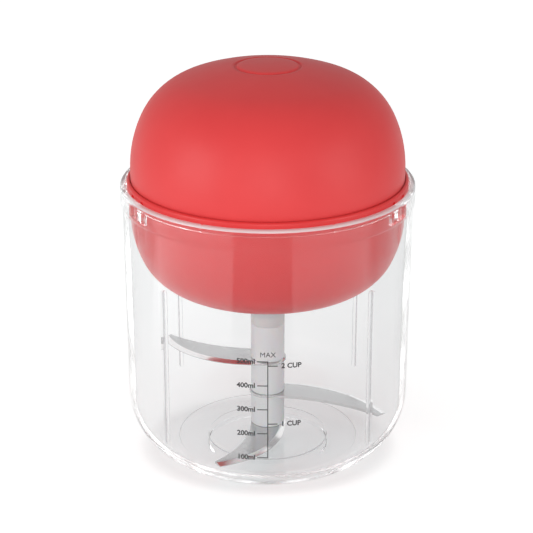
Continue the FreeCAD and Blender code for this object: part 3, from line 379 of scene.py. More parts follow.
def metal(name, dark, light, roughness, stretch=(1.0, 1.0, 1.0), grain=500.0, depth=0.00002):
    """Metal with a brushed or rolled grain, which is finest along the axis stretched most."""
    material, tree, shader = new_material(name)
    vector = object_coordinates(tree, stretch)
    lines = noise(tree, vector, grain, 4.0, 0.6)
    wired(tree, shader, {"Base Color": tones(tree, lines, dark, light),
                         "Roughness": ranged(tree, lines, (roughness - 0.05, roughness + 0.07))})
    constants(shader, {"Metallic": 1.0})
    bumpy(tree, shader, lines, 0.25, depth)
    return material


# %% [markdown]
# The coral shells are matte to the touch and keep a wide soft sheen on top. The
# lower shell is the same colour with a little more gloss.

# %% Coral plastics
coral = moulded("coral_soft_touch", (0.75, 0.048, 0.050), (0.79, 0.057, 0.058), 0.46, specular=0.35)
constants(coral.node_tree.nodes["Principled BSDF"], {"Sheen Weight": 0.06, "Sheen Roughness": 0.4})
coral_satin = moulded("coral_satin", (0.75, 0.035, 0.037), (0.78, 0.041, 0.043), 0.34,
                      depth=0.00001, specular=0.35)
silicone = moulded("coral_silicone", (0.60, 0.060, 0.062), (0.64, 0.068, 0.068), 0.62, 500.0)


# %% [markdown]
# The bowl is clear. Light goes through with a small bend at each surface, and a clear coat on top gives the
# reflections. A shadow ray and the soft light that surfaces pass to each other are let through almost whole,
# because a real clear bowl leaves only a faint shadow with light gathered inside it, which would take very
# many samples. The rim and the narrow edges of ribs and steps get a second, milky finish whose tone is
# painted light: a pale painted highlight along the rim and grey painted refraction lines along the edges,
# where clear plastic shows the light that it bends and reflects.

# %% Clear plastic
CLEAR_TINT = ((0.950, 0.952, 0.955), (0.958, 0.960, 0.963))
LET_THROUGH = (0.91, 0.915, 0.92, 1.0)


def clear_plastic(name, through_weight, painted_tone=None, coat=1.0):
    material, tree, shader = new_material(name)
    vector = object_coordinates(tree)
    constants(shader, {"Transmission Weight": through_weight, "IOR": 1.06, "Coat Weight": coat,
                       "Coat IOR": 1.36, "Coat Roughness": 0.01})
    if painted_tone:
        constants(shader, {"Base Color": (*painted_tone, 1.0)})
        rough = ranged(tree, noise(tree, vector, 300.0), (0.20, 0.30))
    else:
        tint = tones(tree, noise(tree, vector, 20.0), *CLEAR_TINT)
        tree.links.new(tint, shader.inputs["Base Color"])
        rough = ranged(tree, noise(tree, vector, 60.0), (0.0, 0.02))
    tree.links.new(rough, shader.inputs["Roughness"])
    through = tree.nodes.new("ShaderNodeBsdfTransparent")
    constants(through, {"Color": LET_THROUGH})
    mixed(tree, seen_by(tree, "Is Shadow Ray", "Is Diffuse Ray"), shader.outputs["BSDF"],
          through.outputs["BSDF"], "Material Output")
    return material


clear = clear_plastic("clear_bowl_plastic", 1.0)
# The rim's pale tone is a painted highlight, and the edges' grey tone is painted refraction.
clear_rim_painted_highlight = clear_plastic("clear_bowl_rim_painted_highlight", 0.35, (0.86, 0.86, 0.87))
clear_edge_painted_refraction = clear_plastic("clear_bowl_edges_painted_refraction", 0.45, (0.66, 0.66, 0.67), 0.3)

# %% [markdown]
# The hub is frosted: a pale grey plastic with a little light inside it. Its drive cap is a tone darker, which
# is painted shade from the belly that hangs over it. The blades are polished sheet steel, ground along the
# bevel.

# %% Hub, steel and print
frosted = moulded("hub_frosted", (0.76, 0.765, 0.77), (0.80, 0.805, 0.81), 0.42, 1200.0)
# The cap's darker tone is painted shade from the belly over it.
frosted_cap_painted_shade = moulded("cap_frosted", (0.64, 0.64, 0.635), (0.68, 0.68, 0.675), 0.42, 1200.0)
for hub_plastic in (frosted, frosted_cap_painted_shade):
    constants(hub_plastic.node_tree.nodes["Principled BSDF"],
              {"Subsurface Weight": 0.25, "Subsurface Scale": 0.002})
SHEET_GRAIN = (40.0, 40.0, 400.0)
blade_steel = metal("ground_blade_steel", (0.515, 0.52, 0.525), (0.61, 0.615, 0.62), 0.20, SHEET_GRAIN, 30.0)
bevel_steel = metal("ground_bevel_steel", (0.90, 0.90, 0.90), (0.97, 0.97, 0.97), 0.14, SHEET_GRAIN, 30.0)
pin_steel = metal("pin_steel", (0.60, 0.61, 0.62), (0.70, 0.71, 0.72), 0.24, (1.0, 1.0, 60.0), 300.0)
print_ink = moulded("graduation_ink", (0.028, 0.028, 0.030), (0.040, 0.040, 0.042), 0.5, 2000.0, 0.00001)

# %% [markdown]
# The pieces inside the head don't show, but they are as real as the rest and get
# their own finishes, because the head can be taken apart.

# %% Finishes of the inner pieces
inner_finishes = {
    "inner_moulding": moulded("black_nylon", (0.030, 0.030, 0.032), (0.045, 0.045, 0.047), 0.5, 700.0),
    "dog_plastic": moulded("dark_acetal", (0.018, 0.018, 0.020), (0.030, 0.030, 0.032), 0.38, 900.0),
    "seal_rubber": moulded("black_rubber", (0.012, 0.012, 0.012), (0.022, 0.022, 0.022), 0.65, 600.0),
    "gear_plastic": moulded("natural_acetal", (0.72, 0.70, 0.62), (0.80, 0.78, 0.70), 0.42, 900.0),
    "cell_wrap": moulded("green_cell_wrap", (0.020, 0.12, 0.08), (0.028, 0.15, 0.10), 0.30, 300.0),
    "board": moulded("board_mask", (0.004, 0.045, 0.018), (0.008, 0.065, 0.026), 0.35, 300.0),
    "switch_plastic": moulded("black_switch_body", (0.012, 0.012, 0.013), (0.02, 0.02, 0.021), 0.45),
    "light_plastic": moulded("light_pipe", (0.75, 0.78, 0.78), (0.82, 0.84, 0.84), 0.30, 900.0),
    "magnet": moulded("ferrite", (0.022, 0.022, 0.024), (0.04, 0.04, 0.043), 0.6, 400.0),
    "stainless_pin": pin_steel,
    "bush": metal("sintered_bronze", (0.42, 0.26, 0.10), (0.52, 0.34, 0.15), 0.45, grain=900.0),
    "screw_steel": metal("zinc_plate", (0.42, 0.43, 0.45), (0.55, 0.56, 0.58), 0.32),
    "spring_steel": metal("spring_wire", (0.30, 0.30, 0.32), (0.42, 0.42, 0.44), 0.28),
    "gear_steel": metal("sintered_steel", (0.34, 0.34, 0.35), (0.46, 0.46, 0.47), 0.42, grain=900.0),
    "motor_case": metal("drawn_steel", (0.46, 0.47, 0.48), (0.58, 0.59, 0.60), 0.34, (1.0, 1.0, 40.0)),
    "lamination": metal("iron_sheets", (0.14, 0.13, 0.12), (0.24, 0.22, 0.21), 0.5, (1.0, 1.0, 60.0)),
    "copper": metal("copper", (0.55, 0.22, 0.12), (0.68, 0.32, 0.18), 0.30),
    "nickel": metal("nickel_strip", (0.50, 0.49, 0.45), (0.62, 0.61, 0.57), 0.30, (60.0, 1.0, 1.0)),
    "socket_steel": metal("socket_shell", (0.50, 0.51, 0.52), (0.62, 0.63, 0.64), 0.28),
    "cover_rubber": silicone,
    "frosted_hub": frosted,
    "blade_steel": blade_steel,
    "coral_shell": coral,
    "coral_lower": coral_satin,
    "clear_bowl": clear,
}
for part in frame["record"]["subparts"]:
    node = nodes[part["node"]]
    node.data.materials.clear()
    node.data.materials.append(inner_finishes[part["material_slot"]])


# %% [markdown]
# ## The bowl
#
# The bowl is one thick moulding. Its section is a deep cup with a large outer
# corner, a smaller inner one, so that the plastic is thickest where wall and floor
# meet, a band round the rim, and a ledge inside the mouth that carries the head.
# The floor has a step ring, a raised pad and a boss for the pin.

# %% Section of the bowl
def wall_r(z):
    """The outer wall's radius at a height: it leans out a little, as a moulding must."""
    return WALL_R - math.tan(DRAFT) * (BAND_Z - z)


def wall_corner(inset, radius, base_z, count):
    """Points of a rounded corner from the floor up to the leaning wall."""
    centre_z = base_z + radius
    centre_r = wall_r(centre_z) - inset - radius / math.cos(DRAFT)
    return arc((centre_r, centre_z), radius, -90.0, -math.degrees(DRAFT), count)


RECESS_R = 24.9
RECESS_DEPTH = 2.4
FLOOR_RING_R = 37.4
FLOOR_RING_STEP = 0.5
PAD_R = 24.9
PAD_HEIGHT = 0.6
BOSS_R = 4.6
BOSS_Z = 8.1
PIN_R = 2.5
PIN_LOW_Z = 3.9
PIN_FIT = 0.02

recess_z = FLOOR_Z - FLOOR_RING_STEP
pad_z = recess_z + PAD_HEIGHT
inner_corner = [p for p in wall_corner(WALL, INNER_CORNER_R, FLOOR_Z, 40) if p[0] > FLOOR_RING_R]
bowl_section = [(0.0, RECESS_DEPTH), (RECESS_R - 0.4, RECESS_DEPTH), (RECESS_R, RECESS_DEPTH - 0.4),
                (RECESS_R, 0.3), (RECESS_R + 0.3, 0.0), *wall_corner(0.0, CORNER_R, 0.0, 28)]
bowl_section += [(wall_r(z), z) for z in (50.0, 80.0, BAND_Z - 0.4)]
bowl_section += [(wall_r(BAND_Z) + 0.1, BAND_Z), (RIM_R - 0.3, BAND_Z + 0.7), (RIM_R, BAND_Z + 1.2)]
bowl_section += arc((RIM_R - 0.9, BOWL_HEIGHT - 0.9), 0.9, 0.0, 90.0, 6)
bowl_section += arc((MOUTH_R + 0.4, BOWL_HEIGHT - 0.4), 0.4, 90.0, 180.0, 4)
bowl_section += [(MOUTH_R, LEDGE_Z + 0.25), (MOUTH_R - 0.25, LEDGE_Z),
                 (wall_r(LEDGE_Z) - WALL + 0.3, LEDGE_Z), (wall_r(LEDGE_Z) - WALL, LEDGE_Z - 0.3)]
bowl_section += [(wall_r(z) - WALL, z) for z in (100.0, 70.0, 45.0)]
bowl_section += [*inner_corner[::-1], (FLOOR_RING_R, recess_z + 0.15), (FLOOR_RING_R - 0.15, recess_z),
                 (PAD_R + 0.15, recess_z), (PAD_R, recess_z + 0.15), (PAD_R, pad_z - 0.15),
                 (PAD_R - 0.15, pad_z), (BOSS_R + 0.4, pad_z), (BOSS_R, pad_z + 0.4),
                 (BOSS_R, BOSS_Z - 0.3), (BOSS_R - 0.3, BOSS_Z), (PIN_R, BOSS_Z), (PIN_R, PIN_LOW_Z),
                 (0.0, PIN_LOW_Z)]
bowl = turn("bowl_clear", bowl_section)

# %% [markdown]
# ### Ribs and keys
#
# Four ribs stand on the inner wall and throw the food back to the blades. Each is a
# bar with a flat nose, softened edges and a round top. They are joined to the wall
# with a Boolean, because two clear solids that only overlap would show the hidden
# faces. Under the ledge are three sets of keys, a block and a hook, that stop the
# head from turning.

# %% Model a rib and place its copies
RIB_WIDTH = 2.4
RIB_DEPTH = 1.9
RIB_EDGE = 0.4
RIB_LOW_Z = 15.0
RIB_TOP_Z = 85.8
RIB_PLACES = (-47.5, 47.5, 135.0, -135.0)


def from_front(degrees):
    """An angle about the axis from a place in degrees round from the front."""
    return degrees - 90.0


def block(name, x_range, y_range, z_range):
    """A box from its three ranges."""
    deselect()
    bpy.ops.mesh.primitive_cube_add(size=1.0)
    ranges = (x_range, y_range, z_range)
    bpy.context.object.scale = [(high - low) * MM for low, high in ranges]
    bpy.context.object.location = [(high + low) / 2 * MM for low, high in ranges]
    return added(name)


def round_edges(piece, test, width, segments):
    """Bevels the edges whose two ends pass a test, given in millimetres."""
    bpy.context.view_layer.objects.active = piece
    bpy.ops.object.mode_set(mode="EDIT")
    bpy.ops.mesh.select_mode(type="EDGE")
    bpy.ops.mesh.select_all(action="DESELECT")
    mesh = bmesh.from_edit_mesh(piece.data)
    for edge in mesh.edges:
        edge.select_set(test(*(v.co / MM for v in edge.verts)))
    bmesh.update_edit_mesh(piece.data)
    bpy.ops.mesh.bevel(offset=width * MM, segments=segments, affect="EDGES", profile=0.5)
    bpy.ops.mesh.select_mode(type="VERT")
    bpy.ops.object.mode_set(mode="OBJECT")
    return piece


def rib(place_deg):
    nose = wall_r(RIB_TOP_Z) - WALL - RIB_DEPTH
    root = wall_r(RIB_LOW_Z + 25.0) - WALL / 2
    half = RIB_WIDTH / 2
    piece = block("rib", (nose, root), (-half, half), (RIB_LOW_Z, RIB_TOP_Z))
    round_edges(piece, lambda a, b: min(a.z, b.z) > RIB_TOP_Z - 0.1 and abs(a.x - b.x) > 1.0,
                half * 0.98, 8)
    round_edges(piece, lambda a, b: max(a.x, b.x) < nose + 0.1 and max(a.z, b.z) > RIB_LOW_Z + 0.1,
                RIB_EDGE, 3)
    return spin_to(piece, from_front(place_deg))


def inside_wall(tool):
    """Keeps only what lies within the middle of the bowl's wall."""
    low_z = RIB_LOW_Z - 5.0
    corner = wall_corner(WALL / 2, CORNER_R - WALL / 2, WALL / 2, 28)
    section = [(0.0, low_z)] + [p for p in corner if p[1] > low_z]
    section += [(wall_r(LEDGE_Z) - WALL / 2, LEDGE_Z), (0.0, LEDGE_Z)]
    return boolean(tool, turn("keep", section, 96), "INTERSECT")


for place_deg in RIB_PLACES:
    boolean(bowl, inside_wall(rib(place_deg)), "UNION")

# %% Key blocks and hooks
KEY_INNER_R = wall_r(LEDGE_Z) - WALL - 1.8
KEY_LOW_Z = LEDGE_Z - 5.2
KEY_SETS = ((59.5, 1), (-59.5, -1), (180.0, 1))
BLOCK_OFFSET = 9.5
BLOCK_SPAN = 8.0
HOOK_SPAN = 2.2
FOOT_SPAN = 5.0
FOOT_HEIGHT = 1.6


def upright_corners(inner_r, outer_r, low_z, high_z):
    """The four corners of an upright box in a section."""
    return [(inner_r, low_z), (outer_r, low_z), (outer_r, high_z), (inner_r, high_z)]


def add_key(place_deg, span, low_z=KEY_LOW_Z, high_z=LEDGE_Z - 0.02):
    corners = upright_corners(KEY_INNER_R, wall_r(LEDGE_Z) - WALL / 2, low_z, high_z)
    boolean(bowl, sector("key", corners, from_front(place_deg), span), "UNION")


for place_deg, side in KEY_SETS:
    add_key(place_deg + side * BLOCK_OFFSET, BLOCK_SPAN)
    add_key(place_deg, HOOK_SPAN)
    toe = place_deg + side * (FOOT_SPAN - HOOK_SPAN) / 2
    add_key(toe, FOOT_SPAN, KEY_LOW_Z - 0.02, KEY_LOW_Z + FOOT_HEIGHT)

# %% Drain notches, and the edges with painted light
DRAIN_PLACE = 25.5
DRAIN_WIDTH = 1.2
DRAIN_DEPTH = 0.9
drain_corners = upright_corners(MOUTH_R - 1.0, MOUTH_R + DRAIN_DEPTH, LEDGE_Z + 0.02, BOWL_HEIGHT + 1.0)
for side in (-1, 1):
    boolean(bowl, sector("drain", drain_corners, from_front(side * DRAIN_PLACE),
                         math.degrees(DRAIN_WIDTH / MOUTH_R), 2))
smooth(bowl, 35.0)
dress(bowl, clear, "bowl", "clear_bowl", "bowl")
# The two finishes with painted highlight and painted refraction.
for painted_edge_finish in (clear_rim_painted_highlight, clear_edge_painted_refraction):
    bowl.data.materials.append(painted_edge_finish)


def on_rib_edge(x, y, z):
    """True on the softened edges beside a rib's nose."""
    if not RIB_LOW_Z + 4.0 < z < RIB_TOP_Z + 0.5:
        return False
    for place_deg in RIB_PLACES:
        along = math.radians(from_front(place_deg))
        outward = x * math.cos(along) + y * math.sin(along)
        aside = abs(y * math.cos(along) - x * math.sin(along))
        nose = wall_r(RIB_TOP_Z) - WALL - RIB_DEPTH
        if outward > 0 and aside < RIB_WIDTH / 2 + 0.01 and outward < nose + RIB_EDGE + 0.02:
            if aside > RIB_WIDTH / 2 - RIB_EDGE - 0.01 or z > RIB_TOP_Z - 1.6:
                return True
    return False


# Rim faces get the painted highlight finish; floor steps and rib edges get the painted refraction finish.
for face in bowl.data.polygons:
    x, y, z = face.center / MM
    radius = math.hypot(x, y)
    lowest = min(bowl.data.vertices[i].co.z for i in face.vertices) / MM
    step = recess_z < z < FLOOR_Z and (abs(radius - FLOOR_RING_R) < 0.2 or abs(radius - PAD_R) < 0.2)
    if lowest > BOWL_HEIGHT - 0.95:
        face.material_index = 1
    elif step or on_rib_edge(x, y, z):
        face.material_index = 2

# %% [markdown]
# ### The pin
#
# A ground steel pin stands in the floor, with a small chamfer at its tip that
# leads the rotor on.

# %% Pin
PIN_TOP_Z = PIN_LOW_Z + 21.0
pin = turn("pivot_pin_ground", [(0.0, PIN_LOW_Z + PIN_FIT), (PIN_R - PIN_FIT, PIN_LOW_Z + PIN_FIT),
                                (PIN_R - PIN_FIT, PIN_TOP_Z - 0.6), (PIN_R - 0.6, PIN_TOP_Z),
                                (0.0, PIN_TOP_Z)], 64)
smooth(pin)
dress(pin, pin_steel, "bowl", "stainless_pin", "pivot_pin")

# %% [markdown]
# ## The rotor
#
# The hub is a stack: a spindle with a foot, three tubular spacers with the blades
# clamped between them, and a cap that widens to take the drive. Each joint is a
# fine line on the real hub, so each section gets its own small edge radius.

# %% Hub sections
HUB_Z = 8.5
LOWER_BLADE_Z = 10.4
SPACER = 13.9
SPINDLE_R = 5.4
SPINDLE_FLAT = 4.2
CAP_Z = 56.8
CAP_TOP_Z = 69.3
CAP_FLARE_R = 9.2
EDGE = 0.25
blade_heights = [LOWER_BLADE_Z + i * (SPACER + BLADE_THICKNESS) for i in range(3)]
spacer_tops = blade_heights[1:] + [CAP_Z]
for level, blade_z, high_z in zip(("lower", "middle", "upper"), blade_heights, spacer_tops):
    low_z = blade_z + BLADE_THICKNESS
    section = [(SPINDLE_R, low_z), (HUB_R - EDGE, low_z), (HUB_R, low_z + EDGE), (HUB_R, high_z - EDGE),
               (HUB_R - EDGE, high_z), (SPINDLE_R, high_z), (SPINDLE_R, low_z)]
    spacer = smooth(turn("spacer_" + level, section, 96))
    dress(spacer, frosted, "blade_rotor", "frosted_hub", level + "_spacer")

BUSH_R = PIN_R + 0.05 + 1.1
BUSH_LENGTH = 15.0
CORE_R = SPINDLE_R - 0.05
core_top_z = CAP_Z + 3.2
spindle_section = [(0.0, core_top_z), (SPINDLE_R - 0.5, core_top_z), (CORE_R, core_top_z - 0.5),
                   (CORE_R, LOWER_BLADE_Z), (HUB_R - EDGE, LOWER_BLADE_Z),
                   (HUB_R, LOWER_BLADE_Z - EDGE), (HUB_R, HUB_Z + 0.5), (HUB_R - 0.5, HUB_Z),
                   (BUSH_R, HUB_Z), (BUSH_R, HUB_Z + BUSH_LENGTH), (PIN_R + 0.1, HUB_Z + BUSH_LENGTH),
                   (PIN_R + 0.1, PIN_TOP_Z + 0.4), (0.0, PIN_TOP_Z + 0.4)]
spindle = turn("spindle_core", spindle_section, 96)
for side in (-1, 1):
    flat_range = sorted((side * SPINDLE_FLAT, side * 12))
    boolean(spindle, block("flat", (-10, 10), flat_range, (LOWER_BLADE_Z, CAP_TOP_Z)))
smooth(spindle)
dress(spindle, frosted, "blade_rotor", "frosted_hub", "blade_spindle")

# %% Drive cap with its star-shaped socket
DOG_R = 4.6
DOG_LOBE_R = 1.1
DOG_LOBES = 6
SOCKET_CLEARANCE = 0.3
SOCKET_Z = 61.8
cap_section = [(0.0, CAP_Z + 3.3), (SPINDLE_R, CAP_Z + 3.3), (SPINDLE_R, CAP_Z), (HUB_R - EDGE, CAP_Z),
               (HUB_R, CAP_Z + EDGE), (HUB_R, CAP_Z + 3.4)]
cap_section += arc((HUB_R + 4.0, CAP_Z + 3.4), 4.0, 180.0, 156.0, 5)[1:]
cap_section += [(CAP_FLARE_R - 0.25, 65.4)]
cap_section += arc((CAP_FLARE_R - 3.0, 66.4), 3.0, -10.0, 0.0, 3)
cap_section += arc((CAP_FLARE_R - 0.6, CAP_TOP_Z - 0.6), 0.6, 0.0, 90.0, 4)
cap_section += [(0.0, CAP_TOP_Z)]
cap = turn("drive_cap_frosted", cap_section, 96)


def rod(name, radius, length, middle, turned=(0, 0, 0), sides=64):
    """A round rod about its middle, upright unless it is turned."""
    deselect()
    bpy.ops.mesh.primitive_cylinder_add(vertices=sides, radius=radius * MM, depth=length * MM,
                                        location=[value * MM for value in middle], rotation=turned)
    return added(name)


def disc(name, radius, low_z, high_z, x=0.0, y=0.0, sides=64):
    return rod(name, radius, high_z - low_z, (x, y, (low_z + high_z) / 2), sides=sides)


star = disc("star", DOG_R + SOCKET_CLEARANCE, SOCKET_Z, CAP_TOP_Z + 2)
for lobe in range(DOG_LOBES):
    angle = 2 * math.pi * lobe / DOG_LOBES
    boolean(star, disc("lobe", DOG_LOBE_R + SOCKET_CLEARANCE, SOCKET_Z - 0.01, CAP_TOP_Z + 3,
                       DOG_R * math.cos(angle), DOG_R * math.sin(angle), 32), "UNION")
boolean(cap, star)
smooth(cap, 35.0)
dress(cap, frosted_cap_painted_shade, "blade_rotor", "frosted_hub", "drive_cap")

# %% [markdown]
# ### The blades
#
# Each blade is cut from flat sheet: a round eye that sits on the hub, a leading
# edge that is one long arc, a hollow back and a short cut tip. The leading edge is
# ground to a wide bevel, which is part of a cone, so the bevel is made by cutting
# with a cone about the edge's own centre.

# %% Blade outline, extrusion and bevel
EYE_R = 7.7
TIP_SWEEP = 3.4
HEEL_SWEEP = 7.6
TIP_CUT = 2.7
TIP_SLANT = math.radians(40.0)
HOLLOW = 4.5
BEVEL_WIDTH = 2.4
BEVEL_EDGE = 0.3
BEVEL_FACING = (0.90, 0.985)
SLIVER = 2e-8


def bulge_arc(first, last, bulge, count):
    """Points from first to last on an arc that stands out to the left by a bulge."""
    chord = math.dist(first, last)
    radius = chord * chord / (8 * bulge) + bulge / 2
    aside = ((first[1] - last[1]) / chord, (last[0] - first[0]) / chord)
    middle = ((first[0] + last[0]) / 2, (first[1] + last[1]) / 2)
    centre = (middle[0] - aside[0] * (radius - bulge), middle[1] - aside[1] * (radius - bulge))
    return arc(centre, radius, angle_of(centre, first), angle_of(centre, last), count), centre, radius


def at_angle(radius, degrees):
    return (radius * math.cos(math.radians(degrees)), radius * math.sin(math.radians(degrees)))


def bevel_cone(centre, radius):
    """A ring with a sloped inner face that takes the bevel off the leading edge."""
    slope = (BLADE_THICKNESS - BEVEL_EDGE) / BEVEL_WIDTH
    inner = radius - BEVEL_WIDTH
    outer = radius + BEVEL_WIDTH
    section = [(inner, BLADE_THICKNESS), (outer, BLADE_THICKNESS - 2 * BEVEL_WIDTH * slope),
               (outer, 2 * BLADE_THICKNESS), (inner, 2 * BLADE_THICKNESS), (inner, BLADE_THICKNESS)]
    return move_to(turn("bevel", section, 720), centre[0], centre[1], 0.0)


def eye_hole():
    """The spindle's section with its two flats."""
    hole = disc("eye_hole", SPINDLE_R, -1.0, BLADE_THICKNESS + 1.0, sides=96)
    flats = block("flats", (-9, 9), (-SPINDLE_FLAT, SPINDLE_FLAT), (-2.0, BLADE_THICKNESS + 2.0))
    return boolean(hole, flats, "INTERSECT")


def blade(level, reach, belly, turn_deg, low_z):
    tip = at_angle(reach, -TIP_SWEEP)
    heel = at_angle(reach - TIP_CUT * math.sin(TIP_SLANT), -HEEL_SWEEP)
    edge, centre, radius = bulge_arc((0.0, EYE_R), tip, belly, 64)
    back, _, _ = bulge_arc((0.0, -EYE_R), heel, HOLLOW, 24)
    eye = arc((0.0, 0.0), EYE_R, 270.0, 90.0, 24)
    piece = draw("blade_" + level, edge + back[::-1] + eye[1:], "XY")
    bpy.ops.mesh.edge_face_add()
    bpy.ops.mesh.extrude_region_move(TRANSFORM_OT_translate={"value": (0, 0, BLADE_THICKNESS * MM)})
    clean(piece)
    boolean(piece, bevel_cone(centre, radius))
    spin_to(piece, turn_deg)
    boolean(piece, eye_hole())
    soften(piece, 0.06, 2, 15.0)
    move_to(piece, 0, 0, low_z)
    smooth(piece, 12.0)
    dress(piece, blade_steel, "blade_rotor", "blade_steel", level + "_blade")
    piece.data.materials.append(bevel_steel)
    for face in piece.data.polygons:
        if BEVEL_FACING[0] < face.normal.z < BEVEL_FACING[1] and face.area > SLIVER:
            face.material_index = 1


blade("lower", 45.0, 7.5, -111.8, blade_heights[0])
blade("middle", 52.6, 7.5, -21.4, blade_heights[1])
blade("upper", 48.8, 8.5, 159.6, blade_heights[2])

# %% [markdown]
# ## The motor head
#
# Both red shells are round shapes made of three arcs that flow into each other: a
# flank that stands upright at the side, a tighter corner and a wide crown. The
# same function gives the inner faces, drawn in by the wall's thickness.


# %% Three tangent arcs
def shell_arcs(side_r, side_z, pole_z, flank_r, corner_r, crown_r, inset=0.0, count=16):
    """Points from the side of a round shell to its pole, all tangent to each other."""
    sign = 1 if pole_z > side_z else -1
    crown = (0.0, pole_z - sign * crown_r)
    flank = (side_r - flank_r, side_z)
    to_crown = crown_r - corner_r
    to_flank = flank_r - corner_r
    gap_r, gap_z = flank[0] - crown[0], flank[1] - crown[1]
    gap = math.hypot(gap_r, gap_z)
    along = (gap * gap + to_crown ** 2 - to_flank ** 2) / (2 * gap)
    aside = math.sqrt(to_crown ** 2 - along ** 2)
    corner = (crown[0] + (gap_r * along + sign * gap_z * aside) / gap,
              crown[1] + (gap_z * along - sign * gap_r * aside) / gap)
    flank_end = angle_of(flank, corner)
    crown_end = angle_of(crown, corner)
    points = arc(flank, flank_r - inset, 0.0, flank_end, count)
    points += arc(corner, corner_r - inset, flank_end, crown_end, count)[1:]
    points += arc(crown, crown_r - inset, crown_end, sign * 90.0, count)[1:]
    points[-1] = (0.0, points[-1][1])
    return points


DOME_SIDE_Z = 125.0
DOME_ARCS = (47.7, 30.8, 99.5)
BELLY_SIDE_Z = 106.4
BELLY_POLE_Z = 71.2
BELLY_ARCS = (44.7, 21.8, 145.0)


def dome_curve(inset=0.0):
    return shell_arcs(DOME_R, DOME_SIDE_Z, DOME_TOP_Z, *DOME_ARCS, inset)


def belly_curve(inset=0.0):
    return shell_arcs(HOUSING_R, BELLY_SIDE_Z, BELLY_POLE_Z, *BELLY_ARCS, inset)


# %% [markdown]
# ### The press dome
#
# The whole upper shell is the button. Its skirt slides inside the lower housing's
# collar, and a shallow ring on the crown shows where to press. At the back it has
# a notch round the charging port, which stays still when the dome goes down.

# %% Dome section and ring
SKIRT_R = 52.1
SKIRT_WALL = 2.0
SKIRT_Z = 112.9
SKIRT_TOP_Z = 123.7
RING_R = 12.0
RING_WIDTH = 1.5
RING_DEPTH = 0.6
TRAVEL = 2.0
GAP = 0.4
TONGUE_CORNER = 4.0
SWITCH_BOSS_R = 5.0
SWITCH_BOSS_Z = 161.55


def on_crown(radius, depth):
    """A point of the crown at a radius, sunk by a depth."""
    crown_r = DOME_ARCS[-1]
    return (radius, DOME_TOP_Z - crown_r + math.sqrt((crown_r - depth) ** 2 - radius ** 2))


outer = dome_curve()
groove = ((RING_WIDTH + 0.25, 0.0), (RING_WIDTH, 0.12), (RING_WIDTH - 0.3, RING_DEPTH * 0.9),
          (RING_WIDTH / 2, RING_DEPTH), (0.3, RING_DEPTH * 0.9), (0.0, 0.12), (-0.25, 0.0))
crown = [p for p in outer if p[0] > RING_R + RING_WIDTH + 1.0]
crown += [on_crown(RING_R + aside, depth) for aside, depth in groove]
crown += [p for p in outer if p[0] < RING_R - 1.0]
inner = [p for p in reversed(dome_curve(DOME_WALL)) if p[0] > SWITCH_BOSS_R]
dome_section = [(DOME_R - 0.4, DOME_EDGE_Z), (DOME_R - 0.12, DOME_EDGE_Z + 0.1),
                (DOME_R, DOME_EDGE_Z + 0.4), *crown, (0.0, SWITCH_BOSS_Z),
                (SWITCH_BOSS_R, SWITCH_BOSS_Z), (SWITCH_BOSS_R, inner[0][1] + 0.5), *inner,
                (DOME_R - DOME_WALL, SKIRT_TOP_Z), (SKIRT_R - SKIRT_WALL, SKIRT_TOP_Z),
                (SKIRT_R - SKIRT_WALL, SKIRT_Z), (SKIRT_R, SKIRT_Z), (SKIRT_R, DOME_EDGE_Z),
                (DOME_R - 0.4, DOME_EDGE_Z)]
dome = turn("press_dome_shell", dome_section)


# %% Notch round the port, and the port's tongue
def upright_plate(name, half, low_z, top_z, corner):
    """A plate across the back of the head with two round upper corners."""
    piece = block(name, (-half, half), (DOME_R * 0.7, DOME_R + 6.0), (low_z, top_z))
    return round_edges(piece, lambda a, b: abs(a.z - top_z) < 0.1 and abs(b.z - top_z) < 0.1
                       and abs(a.x - b.x) < 0.1, corner, 10)


notch = upright_plate("notch", TONGUE_WIDTH / 2 + GAP, SKIRT_Z - 1.0, TONGUE_TOP_Z + TRAVEL + GAP,
                      TONGUE_CORNER + GAP)
boolean(dome, notch)
soften(dome, 0.12, 2, 50.0)
smooth(dome, 35.0)
dress(dome, coral, "press_dome", "coral_shell", "press_dome")

# %% [markdown]
# ### The lower housing
#
# The belly hangs in the bowl. Its collar sits in the bowl's mouth on the ledge, and
# pockets in its wall take the bowl's keys. The tongue for the charging port grows
# from the collar at the back.

# %% Housing section
SEAL_R = 7.0
SEAL_TOP_Z = 75.0
SHAFT_BOSS_R = 8.8
SHAFT_BOSS_Z = 80.0
BUSH_SEAT_R = 5.05
BUSH_SEAT_Z = 75.6
SHAFT_HOLE_R = 3.2
FLANGE_INNER_Z = 117.9
belly = [p for p in belly_curve() if p[0] > SEAL_R]
belly_in = [p for p in belly_curve(HOUSING_WALL) if p[0] > SHAFT_BOSS_R]
pole_r = BELLY_ARCS[-1]
mouth_z = BELLY_POLE_Z + pole_r - math.sqrt(pole_r ** 2 - SEAL_R ** 2)
housing_section = [(HOUSING_R, 110.0), (HOUSING_R, FLANGE_Z - 0.2), (HOUSING_R + 0.2, FLANGE_Z),
                   (COLLAR_R - 0.25, FLANGE_Z), (COLLAR_R, FLANGE_Z + 0.25)]
housing_section += arc((COLLAR_R - 1.0, SEAM_Z - 1.0), 1.0, 0.0, 90.0, 8)
housing_section += [(COLLAR_BORE_R, SEAM_Z - 0.05), (COLLAR_BORE_R, FLANGE_INNER_Z),
                    (HOUSING_R - HOUSING_WALL, FLANGE_INNER_Z), *belly_in,
                    (SHAFT_BOSS_R, belly_in[-1][1] - 0.3), (SHAFT_BOSS_R, SHAFT_BOSS_Z),
                    (BUSH_SEAT_R, SHAFT_BOSS_Z), (BUSH_SEAT_R, BUSH_SEAT_Z), (SHAFT_HOLE_R, BUSH_SEAT_Z),
                    (SHAFT_HOLE_R, SEAL_TOP_Z), (SEAL_R, SEAL_TOP_Z), (SEAL_R, mouth_z + 0.2),
                    (SEAL_R + 0.2, mouth_z), *belly[::-1], (HOUSING_R, 110.0)]
housing = turn("lower_housing_shell", housing_section)

